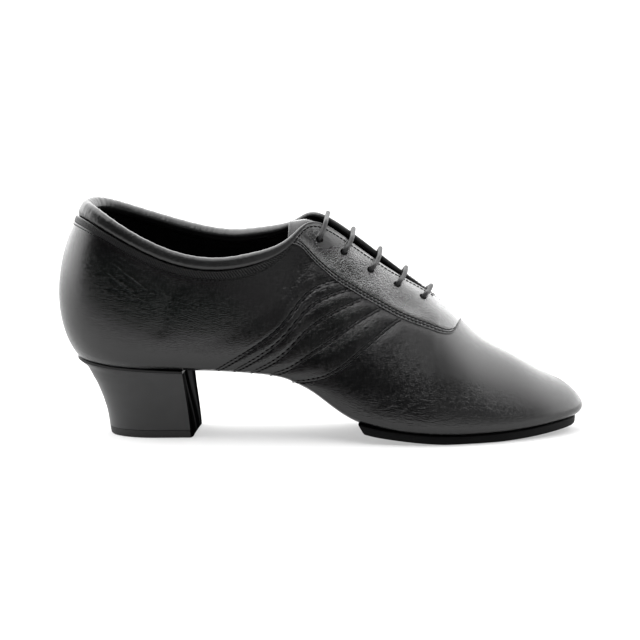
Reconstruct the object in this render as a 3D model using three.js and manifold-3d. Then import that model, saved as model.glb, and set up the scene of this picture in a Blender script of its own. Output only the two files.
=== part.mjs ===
// A man's lace-up ballroom dance shoe for the right foot, on a block heel,
// with a split sole: a pad under the forepart, and leather closed under the arch.
// Millimetres. +X runs to the toe, +Y to the inner (medial) side, +Z up.
// The origin is on the floor, under the middle of the heel.
import * as THREE from "three";
import { mergeVertices } from "three/addons/utils/BufferGeometryUtils.js";
import Module from "manifold-3d";

const wasm = await Module();
wasm.setup();

// Driving dimensions
const shoeLength = 276;
const ballWidth = 94;
const instepHeight = 89;
const seatHeight = 36.8;
const toeSpring = 3.4;
const upperWall = 1.8;
const eyestayStep = 0.8;
const clearance = 0.35;
const soleThickness = 4.6;
const soleLedge = 1.2;
const insoleThickness = 2;
const insoleInset = 1.1;
const randThickness = 1;
const liftThickness = 4.2;
const heelWidth = 47;
const breastHollow = 3.5;
const liftHollow = 0.4;
const lastingMargin = 11;
const rollHeight = 7.2;
const rollThickness = 6;
const facingRoll = 1.7;
const tongueThickness = 2;
const tongueDrop = 3.5;
const tongueCrown = 0.0085;
const laceDiameter = 2.1;
const eyeletDiameter = 4;
const eyeletPairs = 5;
const eyeletInset = 9;

// The upper's ribs, from the heel's back to the toe's tip, one row to a rib.
// foot: the feather edge, where the side turns under. side: how the wall swells just above it.
// top: the collar, the throat's edge, then the ridge of the vamp. lean: the wall's way into the top.
// at, ahead and outer/inner widths are shares of the length and of the ball's width,
// pitch of the seat's height, spring of the toe's, rise, drop and up of the instep's.
const ribRows = [
  { foot: { at: 0.029, outer: 0, inner: 0, pitch: 1.17, spring: 0 },
    side: { outer: 0.15, inner: 0.15, up: 0.2 },
    top: { at: 0.035, outer: 0, inner: 0, riseOuter: 0.845, riseInner: 0.845 },
    lean: { ahead: -0.05, outer: 0, inner: 0, drop: 0.285 } },
  { foot: { at: 0.047, outer: 0.15, inner: 0.15, pitch: 1.13, spring: 0 },
    side: { outer: 0.13, inner: 0.13, up: 0.17 },
    top: { at: 0.054, outer: 0.165, inner: 0.165, riseOuter: 0.847, riseInner: 0.86 },
    lean: { ahead: -0.026, outer: 0.068, inner: 0.068, drop: 0.29 } },
  { foot: { at: 0.109, outer: 0.253, inner: 0.25, pitch: 1.055, spring: 0 },
    side: { outer: 0.115, inner: 0.115, up: 0.1 },
    top: { at: 0.109, outer: 0.277, inner: 0.266, riseOuter: 0.793, riseInner: 0.85 },
    lean: { ahead: -0.007, outer: 0.055, inner: 0.055, drop: 0.27 } },
  { foot: { at: 0.21, outer: 0.284, inner: 0.276, pitch: 1, spring: 0 },
    side: { outer: 0.106, inner: 0.106, up: 0.07 },
    top: { at: 0.21, outer: 0.305, inner: 0.288, riseOuter: 0.655, riseInner: 0.775 },
    lean: { ahead: 0, outer: 0.038, inner: 0.042, drop: 0.225 } },
  { foot: { at: 0.326, outer: 0.284, inner: 0.262, pitch: 0.963, spring: 0 },
    side: { outer: 0.1, inner: 0.11, up: 0.05 },
    top: { at: 0.319, outer: 0.31, inner: 0.284, riseOuter: 0.61, riseInner: 0.722 },
    lean: { ahead: 0, outer: 0.038, inner: 0.048, drop: 0.2 } },
  { foot: { at: 0.42, outer: 0.305, inner: 0.245, pitch: 0.9, spring: 0 },
    side: { outer: 0.1, inner: 0.13, up: 0.045 },
    top: { at: 0.411, outer: 0.257, inner: 0.222, riseOuter: 0.69, riseInner: 0.786 },
    lean: { ahead: 0, outer: 0.055, inner: 0.075, drop: 0.215 } },
  { foot: { at: 0.462, outer: 0.326, inner: 0.242, pitch: 0.79, spring: 0 },
    side: { outer: 0.1, inner: 0.13, up: 0.04 },
    top: { at: 0.46, outer: 0.168, inner: 0.142, riseOuter: 0.846, riseInner: 0.91 },
    lean: { ahead: 0, outer: 0.1, inner: 0.105, drop: 0.2 } },
  { foot: { at: 0.503, outer: 0.353, inner: 0.252, pitch: 0.6, spring: 0 },
    side: { outer: 0.105, inner: 0.125, up: 0.035 },
    top: { at: 0.499, outer: 0.082, inner: 0.076, riseOuter: 0.992, riseInner: 1.03 },
    lean: { ahead: 0, outer: 0.145, inner: 0.14, drop: 0.19 } },
  { foot: { at: 0.569, outer: 0.41, inner: 0.3, pitch: 0.235, spring: 0 },
    side: { outer: 0.125, inner: 0.125, up: 0.035 },
    top: { at: 0.574, outer: 0.058, inner: 0.054, riseOuter: 0.979, riseInner: 1.022 },
    lean: { ahead: 0, outer: 0.19, inner: 0.18, drop: 0.115 } },
  { foot: { at: 0.645, outer: 0.457, inner: 0.372, pitch: 0.082, spring: 0 },
    side: { outer: 0.155, inner: 0.14, up: 0.04 },
    top: { at: 0.655, outer: 0.03, inner: 0.034, riseOuter: 0.858, riseInner: 0.886 },
    lean: { ahead: 0, outer: 0.23, inner: 0.225, drop: 0.06 } },
  { foot: { at: 0.733, outer: 0.468, inner: 0.425, pitch: 0.012, spring: 0 },
    side: { outer: 0.175, inner: 0.17, up: 0.045 },
    top: { at: 0.732, outer: -0.006, inner: 0.012, riseOuter: 0.73, riseInner: 0.73 },
    lean: { ahead: 0, outer: 0.27, inner: 0.28, drop: 0.022 } },
  { foot: { at: 0.819, outer: 0.404, inner: 0.394, pitch: 0, spring: 0 },
    side: { outer: 0.16, inner: 0.155, up: 0.045 },
    top: { at: 0.805, outer: -0.018, inner: 0.018, riseOuter: 0.533, riseInner: 0.533 },
    lean: { ahead: 0, outer: 0.255, inner: 0.255, drop: 0.006 } },
  { foot: { at: 0.891, outer: 0.3, inner: 0.322, pitch: 0, spring: 0.22 },
    side: { outer: 0.138, inner: 0.13, up: 0.045 },
    top: { at: 0.873, outer: -0.033, inner: 0.033, riseOuter: 0.4, riseInner: 0.4 },
    lean: { ahead: 0, outer: 0.215, inner: 0.21, drop: 0 } },
  { foot: { at: 0.953, outer: 0.158, inner: 0.25, pitch: 0, spring: 0.7 },
    side: { outer: 0.112, inner: 0.105, up: 0.04 },
    top: { at: 0.922, outer: -0.045, inner: 0.045, riseOuter: 0.294, riseInner: 0.294 },
    lean: { ahead: 0.02, outer: 0.16, inner: 0.155, drop: 0 } },
  { foot: { at: 0.989, outer: -0.053, inner: 0.053, pitch: 0, spring: 1 },
    side: { outer: 0.104, inner: 0.104, up: 0.03 },
    top: { at: 0.962, outer: -0.053, inner: 0.053, riseOuter: 0.22, riseInner: 0.22 },
    lean: { ahead: 0.042, outer: 0, inner: 0, drop: 0 } },
];
const tipRib = ribRows.length - 1;
const ribCount = 2 * tipRib;
const facingRib = 7;
const throatRib = 10;
const vampSlope = -0.6;

// Where the upper is closed underneath, in ribs: it opens over the heel's seat and over the sole pad.
const seatEndRib = 2.4;
const archStartRib = 3.2;
const archEndRib = 8.5;
const padStartRib = 9.3;

// Rib counts and steps up a rib for the faceted solids
const ribsPerRow = 3;
const wallSteps = [0, 0.07, 0.15, 0.24, 0.34, 0.44, 0.54, 0.64, 0.74, 0.83, 0.92, 1];
const underSteps = [1, 0.5];

const splinePasses = 30;
const searchPasses = 24;

// A smooth closed curve through points, one whole number apart: a cubic spline with its ends joined.
function closedSpline(points) {
  const count = points.length;
  const controls = points.map((point) => point.clone());
  for (let pass = 0; pass < splinePasses; pass += 1) {
    for (let i = 0; i < count; i += 1) {
      const before = controls[(i + count - 1) % count];
      const after = controls[(i + 1) % count];
      controls[i].copy(points[i]).multiplyScalar(6).sub(before).sub(after).divideScalar(4);
    }
  }
  return (u) => {
    const turn = ((u % count) + count) % count;
    const start = Math.floor(turn);
    const t = turn - start;
    const weights = [(1 - t) ** 3, 3 * t ** 3 - 6 * t ** 2 + 4, 1 + 3 * t + 3 * t ** 2 - 3 * t ** 3, t ** 3];
    const point = new THREE.Vector3();
    weights.forEach((weight, k) => {
      point.addScaledVector(controls[(start + count - 1 + k) % count], weight / 6);
    });
    return point;
  };
}

// A closed curve round the shoe: up the outer (lateral) side to the toe, back down the inner one.
function ringOf(pointOf) {
  const outer = ribRows.map((row) => pointOf(row, "outer"));
  const inner = ribRows.slice(1, -1).reverse().map((row) => pointOf(row, "inner"));
  return closedSpline([...outer, ...inner]);
}

const sideSign = { outer: -1, inner: 1 };

function footHeight(row) {
  return soleThickness + row.foot.pitch * (seatHeight - soleThickness) + row.foot.spring * toeSpring;
}

const footRing = ringOf((row, side) => new THREE.Vector3(
  row.foot.at * shoeLength,
  sideSign[side] * row.foot[side] * ballWidth,
  footHeight(row),
));

const swellRing = ringOf((row, side) => new THREE.Vector3(
  row.side[side] * ballWidth,
  0,
  row.side.up * instepHeight,
));

const topRing = ringOf((row, side) => new THREE.Vector3(
  row.top.at * shoeLength,
  sideSign[side] * row.top[side] * ballWidth,
  footHeight(row) + (side === "outer" ? row.top.riseOuter : row.top.riseInner) * instepHeight,
));

const leanRing = ringOf((row, side) => new THREE.Vector3(
  row.lean.ahead * shoeLength,
  sideSign[side] * row.lean[side] * ballWidth,
  row.lean.ahead * shoeLength * (row.top.at > 0.5 ? vampSlope : 0) - row.lean.drop * instepHeight,
));

const mirrorRib = (u) => ribCount - u;
const ribAlong = (u) => Math.min(u, mirrorRib(u));

// Level direction out of the shoe at the feather edge
function outwardAt(u) {
  const reach = 0.02;
  const along = footRing(u + reach).sub(footRing(u - reach));
  return new THREE.Vector3(along.y, -along.x, 0).normalize();
}

// The upper's edge at the top of rib u. Past the throat both sides meet on the ridge.
function topPoint(u) {
  const point = topRing(u);
  return ribAlong(u) < throatRib ? point : point.lerp(topRing(mirrorRib(u)), 0.5);
}

// Point of the upper's outside on rib u: up from 0 at the feather edge to 1 at the top.
function wallPoint(u, up) {
  const foot = footRing(u);
  const swell = swellRing(u);
  const side = foot.clone().addScaledVector(outwardAt(u), swell.x);
  side.z += swell.z;
  const top = topPoint(u);
  const shoulder = top.clone().add(leanRing(u));
  return new THREE.CubicBezierCurve3(foot, side, shoulder, top).getPoint(up);
}

const smoothStep = (from, to, x) => THREE.MathUtils.smoothstep(x, from, to);

// How far rib u is closed underneath: 1 where both sides meet on the centre line.
function closedUnder(u) {
  const rib = ribAlong(u);
  return smoothStep(seatEndRib, archStartRib, rib) * (1 - smoothStep(archEndRib, padStartRib, rib));
}

// The rib whose feather edge lies at a place along the shoe
function ribAtLength(x) {
  let low = 0;
  let high = tipRib;
  for (let pass = 0; pass < searchPasses; pass += 1) {
    const rib = (low + high) / 2;
    if (footRing(rib).x < x) low = rib;
    else high = rib;
  }
  return low;
}

const bedHeight = (x) => footRing(ribAtLength(x)).z;

// Point of the upper's underside on rib u: under from 0 at the feather edge to 1 at its inner edge.
function underPoint(u, under) {
  const foot = footRing(u);
  const margin = foot.clone().addScaledVector(outwardAt(u), -lastingMargin);
  const middle = foot.clone().lerp(footRing(mirrorRib(u)), 0.5);
  const point = foot.lerp(margin.lerp(middle, closedUnder(u)), under);
  point.z = bedHeight(point.x);
  return point;
}

// A mesh under construction: shared vertices, and triangles between them.
function patch() {
  return { points: [], faces: [] };
}

function addPoint(target, point) {
  target.points.push(point);
  return target.points.length - 1;
}

function addQuad(target, a, b, c, d) {
  target.faces.push([a, b, c], [a, c, d]);
}

function vertexNormals(target) {
  const normals = target.points.map(() => new THREE.Vector3());
  const faceNormals = target.faces.map(([a, b, c]) => {
    const ab = target.points[b].clone().sub(target.points[a]);
    const ac = target.points[c].clone().sub(target.points[a]);
    return ab.cross(ac);
  });
  target.faces.forEach((face, i) => face.forEach((v) => normals[v].add(faceNormals[i])));
  return normals.map((normal) => normal.normalize());
}

// Closes an open sheet into a wall between two offsets along its outward normals.
function thicken(sheet, outerOffset, innerOffset) {
  const normals = vertexNormals(sheet);
  const count = sheet.points.length;
  const solid = patch();
  [outerOffset, innerOffset].forEach((offset) => {
    sheet.points.forEach((point, i) => addPoint(solid, point.clone().addScaledVector(normals[i], offset)));
  });
  const edges = new Set(sheet.faces.flatMap(([a, b, c]) => [[a, b], [b, c], [c, a]]).map(String));
  sheet.faces.forEach(([a, b, c]) => {
    solid.faces.push([a, b, c], [a + count, c + count, b + count]);
    [[a, b], [b, c], [c, a]].forEach(([from, to]) => {
      if (!edges.has(String([to, from]))) addQuad(solid, to, from, from + count, to + count);
    });
  });
  return solid;
}

// A cap of triangles round the middle of a ring
function fanCap(ids, solid) {
  const points = ids.map((id) => solid.points[id]);
  const middle = points.reduce((sum, point) => sum.add(point), new THREE.Vector3()).divideScalar(ids.length);
  const centre = addPoint(solid, middle);
  return ids.map((id, i) => [id, ids[(i + 1) % ids.length], centre]);
}

// Joins closed rings of equal length into a capped solid. The rings turn left-handed along their way.
function loft(rings, cap = fanCap) {
  const solid = patch();
  const ids = rings.map((ring) => ring.map((point) => addPoint(solid, point)));
  const size = rings[0].length;
  for (let k = 0; k + 1 < ids.length; k += 1) {
    for (let i = 0; i < size; i += 1) {
      const j = (i + 1) % size;
      addQuad(solid, ids[k][i], ids[k][j], ids[k + 1][j], ids[k + 1][i]);
    }
  }
  solid.faces.push(...cap(ids[0], solid).map(([a, b, c]) => [a, c, b]));
  solid.faces.push(...cap(ids.at(-1), solid));
  return solid;
}

function toGeometry(solid) {
  const geometry = new THREE.BufferGeometry();
  const positions = solid.points.flatMap((point) => point.toArray());
  geometry.setAttribute("position", new THREE.Float32BufferAttribute(positions, 3));
  geometry.setIndex(solid.faces.flat());
  return geometry;
}

function toManifold(geometry) {
  const bare = geometry.clone();
  bare.deleteAttribute("normal");
  bare.deleteAttribute("uv");
  const merged = mergeVertices(bare, 1e-4);
  return new wasm.Manifold(new wasm.Mesh({
    numProp: 3,
    vertProperties: new Float32Array(merged.attributes.position.array),
    triVerts: new Uint32Array(merged.index.array),
  }));
}

function fromManifold(manifold) {
  const mesh = manifold.getMesh();
  const geometry = new THREE.BufferGeometry();
  geometry.setAttribute("position", new THREE.BufferAttribute(mesh.vertProperties, mesh.numProp));
  geometry.setIndex(new THREE.BufferAttribute(mesh.triVerts, 1));
  return geometry;
}

// The upper's outside as one sheet, its two sides sharing the ridge and the arch's centre line.
function upperSheet() {
  const sheet = patch();
  const ribs = ribCount * ribsPerRow;
  const steps = [
    ...underSteps.map((under) => (u) => underPoint(u, under)),
    ...wallSteps.map((up) => (u) => wallPoint(u, up)),
  ];
  const ids = [];
  for (let i = 0; i < ribs; i += 1) {
    const u = i / ribsPerRow;
    const twin = i > ribs / 2 ? ids[ribs - i] : null;
    ids.push(steps.map((pointAt, k) => {
      const shared = twin && ((k === 0 && closedUnder(u) === 1)
        || (k === steps.length - 1 && ribAlong(u) >= throatRib));
      return shared ? twin[k] : addPoint(sheet, pointAt(u));
    }));
  }
  ids.forEach((rib, i) => {
    const next = ids[(i + 1) % ribs];
    for (let k = 0; k + 1 < steps.length; k += 1) addQuad(sheet, rib[k], next[k], next[k + 1], rib[k + 1]);
  });
  return sheet;
}

// The eyestay's outline seen from the side, from the collar down and round the throat's end,
// as shares of the length and of the height of the seat and the instep together.
const eyestayCorners = [
  { at: 0.432, high: 0.891 },
  { at: 0.523, high: 0.683 },
  { at: 0.57, high: 0.619 },
  { at: 0.616, high: 0.559 },
  { at: 0.655, high: 0.511 },
  { at: 0.715, high: 0.455 },
  { at: 0.74, high: 0.437 },
  { at: 0.758, high: 0.452 },
  { at: 0.768, high: 0.507 },
  { at: 0.79, high: 0.615 },
];
const instepTop = seatHeight + instepHeight;
const eyestayBury = 0.5;

function eyestayCutter() {
  const outline = new THREE.Shape();
  const edge = eyestayCorners.map(({ at, high }) => new THREE.Vector2(at * shoeLength, high * instepTop));
  outline.moveTo(edge[0].x, edge[0].y);
  outline.splineThru(edge.slice(1));
  outline.lineTo(edge.at(-1).x, 2 * instepTop);
  outline.lineTo(edge[0].x, 2 * instepTop);
  const slab = new THREE.ExtrudeGeometry(outline, {
    depth: 2 * ballWidth,
    bevelEnabled: false,
    curveSegments: 3,
  });
  slab.rotateX(Math.PI / 2);
  slab.translate(0, ballWidth, 0);
  return toManifold(slab);
}

// How far up its rib a point lies that is a distance below the throat's edge
function upBelowTop(u, distance) {
  const stride = 0.01;
  let up = 1;
  let walked = 0;
  while (walked < distance) {
    walked += wallPoint(u, up).distanceTo(wallPoint(u, up - stride));
    up -= stride;
  }
  return up;
}

function wallNormal(u, up) {
  const reach = 0.02;
  const along = wallPoint(u + reach, up).sub(wallPoint(u - reach, up));
  const upward = wallPoint(u, up + reach).sub(wallPoint(u, up - reach));
  return along.cross(upward).normalize();
}

// Eyelet pairs down the throat: the middle of each hole and the way out of it
const firstEyeletRib = facingRib + 0.12;
const lastEyeletRib = throatRib - 0.4;

function eyeletRib(pair) {
  return THREE.MathUtils.lerp(firstEyeletRib, lastEyeletRib, pair / (eyeletPairs - 1));
}

function eyeletAt(pair, side) {
  const rib = eyeletRib(pair);
  const u = side === "outer" ? rib : mirrorRib(rib);
  const up = upBelowTop(u, eyeletInset);
  return { u, up, centre: wallPoint(u, up), out: wallNormal(u, up) };
}

const eyeletSides = 12;
const punchDepth = 5 * upperWall;

function eyeletPunch({ centre, out }) {
  const punch = new THREE.CylinderGeometry(eyeletDiameter / 2, eyeletDiameter / 2, punchDepth, eyeletSides);
  punch.applyQuaternion(new THREE.Quaternion().setFromUnitVectors(new THREE.Vector3(0, 1, 0), out));
  punch.translate(centre.x, centre.y, centre.z);
  return toManifold(punch);
}

function upperGeometry() {
  const sheet = upperSheet();
  const wall = toManifold(toGeometry(thicken(sheet, 0, -upperWall)));
  const overlay = toManifold(toGeometry(thicken(sheet, eyestayStep, -eyestayBury)));
  let upper = wall.add(overlay.intersect(eyestayCutter()));
  for (let pair = 0; pair < eyeletPairs; pair += 1) {
    ["outer", "inner"].forEach((side) => {
      upper = upper.subtract(eyeletPunch(eyeletAt(pair, side)));
    });
  }
  return fromManifold(upper);
}

// A plate under or on the feather edge, from one rib to another, ruled across from side to side.
// edgePoint gives its edge on a rib, for the top layer and for the bottom one.
function ruledPlate(fromRib, toRib, edgePoint) {
  const steps = Math.round((toRib - fromRib) * ribsPerRow);
  const solid = patch();
  const layers = ["top", "bottom"].map((layer) => {
    const rows = [];
    for (let i = 0; i <= steps; i += 1) {
      const rib = fromRib + ((toRib - fromRib) * i) / steps;
      const pole = rib === 0 || rib === tipRib;
      const outer = addPoint(solid, edgePoint(rib, layer));
      rows.push([outer, pole ? outer : addPoint(solid, edgePoint(mirrorRib(rib), layer))]);
    }
    return rows;
  });
  const [top, bottom] = layers;
  const addFace = (corners) => {
    const loop = corners.filter((corner, i) => corner !== corners[(i + 1) % corners.length]);
    for (let i = 1; i + 1 < loop.length; i += 1) solid.faces.push([loop[0], loop[i], loop[i + 1]]);
  };
  for (let i = 0; i < steps; i += 1) {
    const [a, b] = top[i];
    const [c, d] = top[i + 1];
    const [e, f] = bottom[i];
    const [g, h] = bottom[i + 1];
    addFace([a, c, d, b]);
    addFace([e, f, h, g]);
    addFace([a, e, g, c]);
    addFace([b, d, h, f]);
  }
  if (top[0][0] !== top[0][1]) addFace([top[0][0], top[0][1], bottom[0][1], bottom[0][0]]);
  const [a, b] = top[steps];
  const [e, f] = bottom[steps];
  if (a !== b) addFace([b, a, e, f]);
  return solid;
}

// The forepart's sole pad. Its underside is level where it meets the floor.
const padFirstRib = 8.2;

function solePad() {
  return ruledPlate(padFirstRib, tipRib, (u, layer) => {
    const foot = footRing(u);
    const edge = foot.clone().addScaledVector(outwardAt(u), layer === "top" ? soleLedge : soleLedge / 2);
    edge.z = layer === "top" ? foot.z - clearance : Math.max(0, foot.z - soleThickness - clearance / 2);
    return edge;
  });
}

// How much higher a layer over the feather edge lies where the foot's bed slopes
function bedRise(u) {
  const reach = 0.3;
  const along = footRing(u + reach).sub(footRing(u - reach));
  return along.length() / Math.hypot(along.x, along.y);
}

function insolePlate() {
  return ruledPlate(0, tipRib, (u, layer) => {
    const edge = footRing(u).addScaledVector(outwardAt(u), -insoleInset);
    edge.z += (upperWall + clearance) * bedRise(u) + clearance + (layer === "top" ? insoleThickness : 0);
    return edge;
  });
}

// The heel's outline, level by level, from the seat down to the floor. Its top spreads to a cup
// that follows the feather edge. down: share of the way to the top lift. flare: share of the spread.
// back and breast: shares of the length. wide: of the heel's width.
const heelRows = [
  { down: 0, flare: 1, back: 0.053, breast: 0.2485, wide: 1.1 },
  { down: 0.1, flare: 0.36, back: 0.055, breast: 0.2495, wide: 1.08 },
  { down: 0.2, flare: 0.12, back: 0.0575, breast: 0.2505, wide: 1.06 },
  { down: 0.38, flare: 0, back: 0.0665, breast: 0.2525, wide: 1.035 },
  { down: 0.56, flare: 0, back: 0.076, breast: 0.255, wide: 1.015 },
  { down: 0.78, flare: 0, back: 0.0845, breast: 0.2578, wide: 1.005 },
  { down: 1, flare: 0, back: 0.089, breast: 0.26, wide: 1 },
];
const heelFoot = { down: 1, flare: 0, back: 0.0915, breast: 0.261, wide: 1 };
const heelSideSteps = 9;
const heelRoundSteps = 0.7;
const heelRoundLength = 0.56;
const heelSquareness = 0.86;
const heelToeIn = 0.97;
const heelCorner = 1.4;
const breastAcross = [0.8, 0.45, 0, -0.45, -0.8];
const breastRib = ribAtLength(heelRows[0].breast * shoeLength - heelCorner);

// Heel outline in plan, from one breast corner round the back to the other, then over the hollow breast.
function heelOutline({ down, flare, back, breast, wide }) {
  const half = (wide * heelWidth) / 2;
  const start = back * shoeLength;
  const end = breast * shoeLength;
  const roundEnd = start + heelRoundLength * (end - start);
  const outline = [];
  for (let i = -heelSideSteps; i <= heelSideSteps; i += 1) {
    const share = Math.abs(i) / heelSideSteps;
    const turn = Math.min(1, share / heelRoundSteps) * (Math.PI / 2);
    const straight = Math.max(0, (share - heelRoundSteps) / (1 - heelRoundSteps));
    const bow = Math.sin(turn) ** heelSquareness * THREE.MathUtils.lerp(1, heelToeIn, straight);
    const rounded = THREE.MathUtils.lerp(roundEnd, start, Math.cos(turn));
    const x = THREE.MathUtils.lerp(rounded, end - heelCorner, straight);
    const seat = footRing(i < 0 ? share * breastRib : mirrorRib(share * breastRib));
    outline.push(new THREE.Vector3(x, Math.sign(i) * half * bow, 0).lerp(seat, flare).setZ(seat.z));
  }
  const corner = outline.at(-1).y / heelToeIn;
  const hollow = THREE.MathUtils.lerp(breastHollow, liftHollow, down);
  breastAcross.forEach((across) => {
    const x = end - hollow * (1 - across ** 2);
    outline.push(new THREE.Vector3(x, corner * across, bedHeight(x)));
  });
  return outline;
}

// A level of the heel: its outline, let down from under the rand towards the floor of the block
function heelLevel(row, floor) {
  return heelOutline(row).map((point) => {
    const top = point.z - 2 * clearance - randThickness;
    return point.setZ(THREE.MathUtils.lerp(top, floor, row.down));
  });
}

function heelBlock() {
  const floorOfBlock = liftThickness + clearance;
  return loft(heelRows.map((row) => heelLevel(row, floorOfBlock)), heelCap);
}

function topLift() {
  return loft([heelRows.at(-1), heelFoot].map((row, i) => {
    return heelOutline(row).map((point) => point.setZ(i === 0 ? liftThickness : 0));
  }), heelCap);
}

// Closes a heel level: strips across from the back to the sides' front ends, then a fan to the breast
function heelCap(ids) {
  const back = heelSideSteps;
  const faces = [[ids[back], ids[back + 1], ids[back - 1]]];
  for (let k = 1; k + 1 < heelSideSteps; k += 1) {
    const [a, b, c, d] = [back - k, back + k, back + k + 1, back - k - 1].map((i) => ids[i]);
    faces.push([a, b, c], [a, c, d]);
  }
  const breast = [...ids.slice(2 * heelSideSteps - 1), ids[0]];
  for (let i = 0; i + 1 < breast.length; i += 1) faces.push([ids[1], breast[i], breast[i + 1]]);
  return faces;
}

// The thin rand between the upper and the heel, along the feather edge
function heelRand() {
  return ruledPlate(0, breastRib, (u, layer) => {
    const edge = footRing(u);
    edge.z -= clearance + (layer === "top" ? 0 : randThickness);
    return edge;
  });
}

// The padded roll round the collar, from one facing's corner round the heel to the other.
const rollSectionSides = 10;
const rollEndRib = facingRib;
const rollFadeRibs = 2.6;
const backRollGrowth = 0.25;
const backRollRibs = [0.5, 2.5];
const rollProud = 0.8;
const rollClearance = 0.45;
const steadyUp = 0.97;

function rollSection(u) {
  const rib = Math.abs(u);
  const turn = u < 0 ? ribCount + u : u;
  const reach = 0.02;
  const along = topPoint(turn + reach).sub(topPoint(turn - reach)).normalize();
  const edge = topPoint(turn);
  const rise = edge.clone().sub(wallPoint(turn, steadyUp)).normalize();
  const out = along.clone().cross(rise).normalize();
  const fade = 1 - smoothStep(rollEndRib - rollFadeRibs, rollEndRib, rib);
  const grow = 1 + backRollGrowth * (1 - smoothStep(...backRollRibs, rib));
  const high = THREE.MathUtils.lerp(facingRoll, rollHeight * grow, fade);
  const thick = THREE.MathUtils.lerp(facingRoll, rollThickness, fade);
  const centre = edge
    .addScaledVector(rise, high / 2 + rollClearance)
    .addScaledVector(out, rollProud * fade - thick / 2);
  const ring = [];
  for (let i = 0; i < rollSectionSides; i += 1) {
    const angle = (-2 * Math.PI * i) / rollSectionSides;
    ring.push(centre.clone()
      .addScaledVector(out, (Math.cos(angle) * thick) / 2)
      .addScaledVector(rise, (Math.sin(angle) * high) / 2));
  }
  return ring;
}

function collarRoll() {
  const steps = Math.round(2 * rollEndRib * ribsPerRow);
  const rings = [];
  for (let i = 0; i <= steps; i += 1) rings.push(rollSection(-rollEndRib + (2 * rollEndRib * i) / steps));
  return loft(rings);
}

// The tongue: sections that follow the facings inside, and bridge the throat with a crown.
const tongueTopRib = 5.75;
const tongueEndRib = 10.6;
const tongueRows = 14;
const tongueAcross = 10;
const tongueFlankUp = { top: 0.66, end: 0.74 };

function insideWall(u, up, depth) {
  return wallPoint(u, up).addScaledVector(wallNormal(u, Math.min(up, steadyUp)), -depth);
}

function tongueSection(rib, depth) {
  const down = smoothStep(tongueTopRib, tongueEndRib, rib);
  const lowest = THREE.MathUtils.lerp(tongueFlankUp.top, tongueFlankUp.end, down);
  const flank = [lowest, (lowest + 1) / 2, 1];
  const outer = flank.map((up) => insideWall(rib, up, depth));
  const inner = flank.map((up) => insideWall(mirrorRib(rib), up, depth)).reverse();
  const crown = outer[2].clone().lerp(inner[0], 0.5);
  crown.z += tongueCrown * topPoint(rib).distanceToSquared(topPoint(mirrorRib(rib)));
  const points = [...outer.slice(0, 2), crown, ...inner.slice(1)];
  return new THREE.CatmullRomCurve3(points, false, "centripetal").getSpacedPoints(tongueAcross);
}

function tongueSolid() {
  const depth = upperWall + tongueDrop;
  const sheet = patch();
  const ids = [];
  for (let i = 0; i <= tongueRows; i += 1) {
    const rib = THREE.MathUtils.lerp(tongueTopRib, tongueEndRib, i / tongueRows);
    ids.push(tongueSection(rib, depth).map((point) => addPoint(sheet, point)));
  }
  for (let i = 0; i < tongueRows; i += 1) {
    for (let k = 0; k < tongueAcross; k += 1) {
      addQuad(sheet, ids[i][k], ids[i + 1][k], ids[i + 1][k + 1], ids[i][k + 1]);
    }
  }
  return thicken(sheet, 0, -tongueThickness);
}

// The lace: straight bars over the throat, joined by runs hidden behind the facings. Its two ends
// are hidden too, behind the top eyelets: one comes down beside the holes to the lowest pair.
const laceLift = eyestayStep + laceDiameter / 2 + 1.5 * clearance;
const laceBury = upperWall + laceDiameter / 2 + 1.5 * clearance;
const laceCrestRise = 1.5;
const laceBend = 1.8;
const longestBend = 0.45;
const laceLane = 1.6 * laceDiameter;
const laceBendSteps = 3;
const laceSides = 7;

function laceLanePoint(pair) {
  const u = eyeletRib(pair);
  return insideWall(u, upBelowTop(u, eyeletInset + laceLane), laceBury);
}

function laceSolid() {
  return cordSolid(roundedPath(laceCorners(), laceBend), laceDiameter, laceSides);
}

function laceCorners() {
  const pairs = Array.from({ length: eyeletPairs }, (_, pair) => pair);
  const corners = pairs.map(laceLanePoint);
  pairs.reverse().forEach((pair, k) => {
    const sides = k % 2 === 0 ? ["outer", "inner"] : ["inner", "outer"];
    const [from, to] = sides.map((side) => eyeletAt(pair, side));
    const over = ({ u, up }) => insideWall(u, up, -laceLift);
    const half = ({ u, up }) => insideWall(u, (1 + up) / 2, -laceLift);
    const crest = ({ u }) => insideWall(u, 1, -laceLift).add(new THREE.Vector3(0, 0, laceCrestRise));
    const behind = ({ u, up }) => insideWall(u, up, laceBury);
    corners.push(behind(from), over(from), half(from), crest(from));
    corners.push(crest(to), half(to), over(to), behind(to));
  });
  return corners;
}

// Points along straight stretches between corners, each corner rounded off
function roundedPath(corners, bend) {
  const points = [corners[0]];
  for (let i = 1; i + 1 < corners.length; i += 1) {
    const before = corners[i - 1].distanceTo(corners[i]);
    const after = corners[i].distanceTo(corners[i + 1]);
    const cut = Math.min(bend, longestBend * before, longestBend * after);
    const into = corners[i].clone().lerp(corners[i - 1], cut / before);
    const away = corners[i].clone().lerp(corners[i + 1], cut / after);
    points.push(...new THREE.QuadraticBezierCurve3(into, corners[i], away).getPoints(laceBendSteps));
  }
  points.push(corners.at(-1));
  return points;
}

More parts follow.
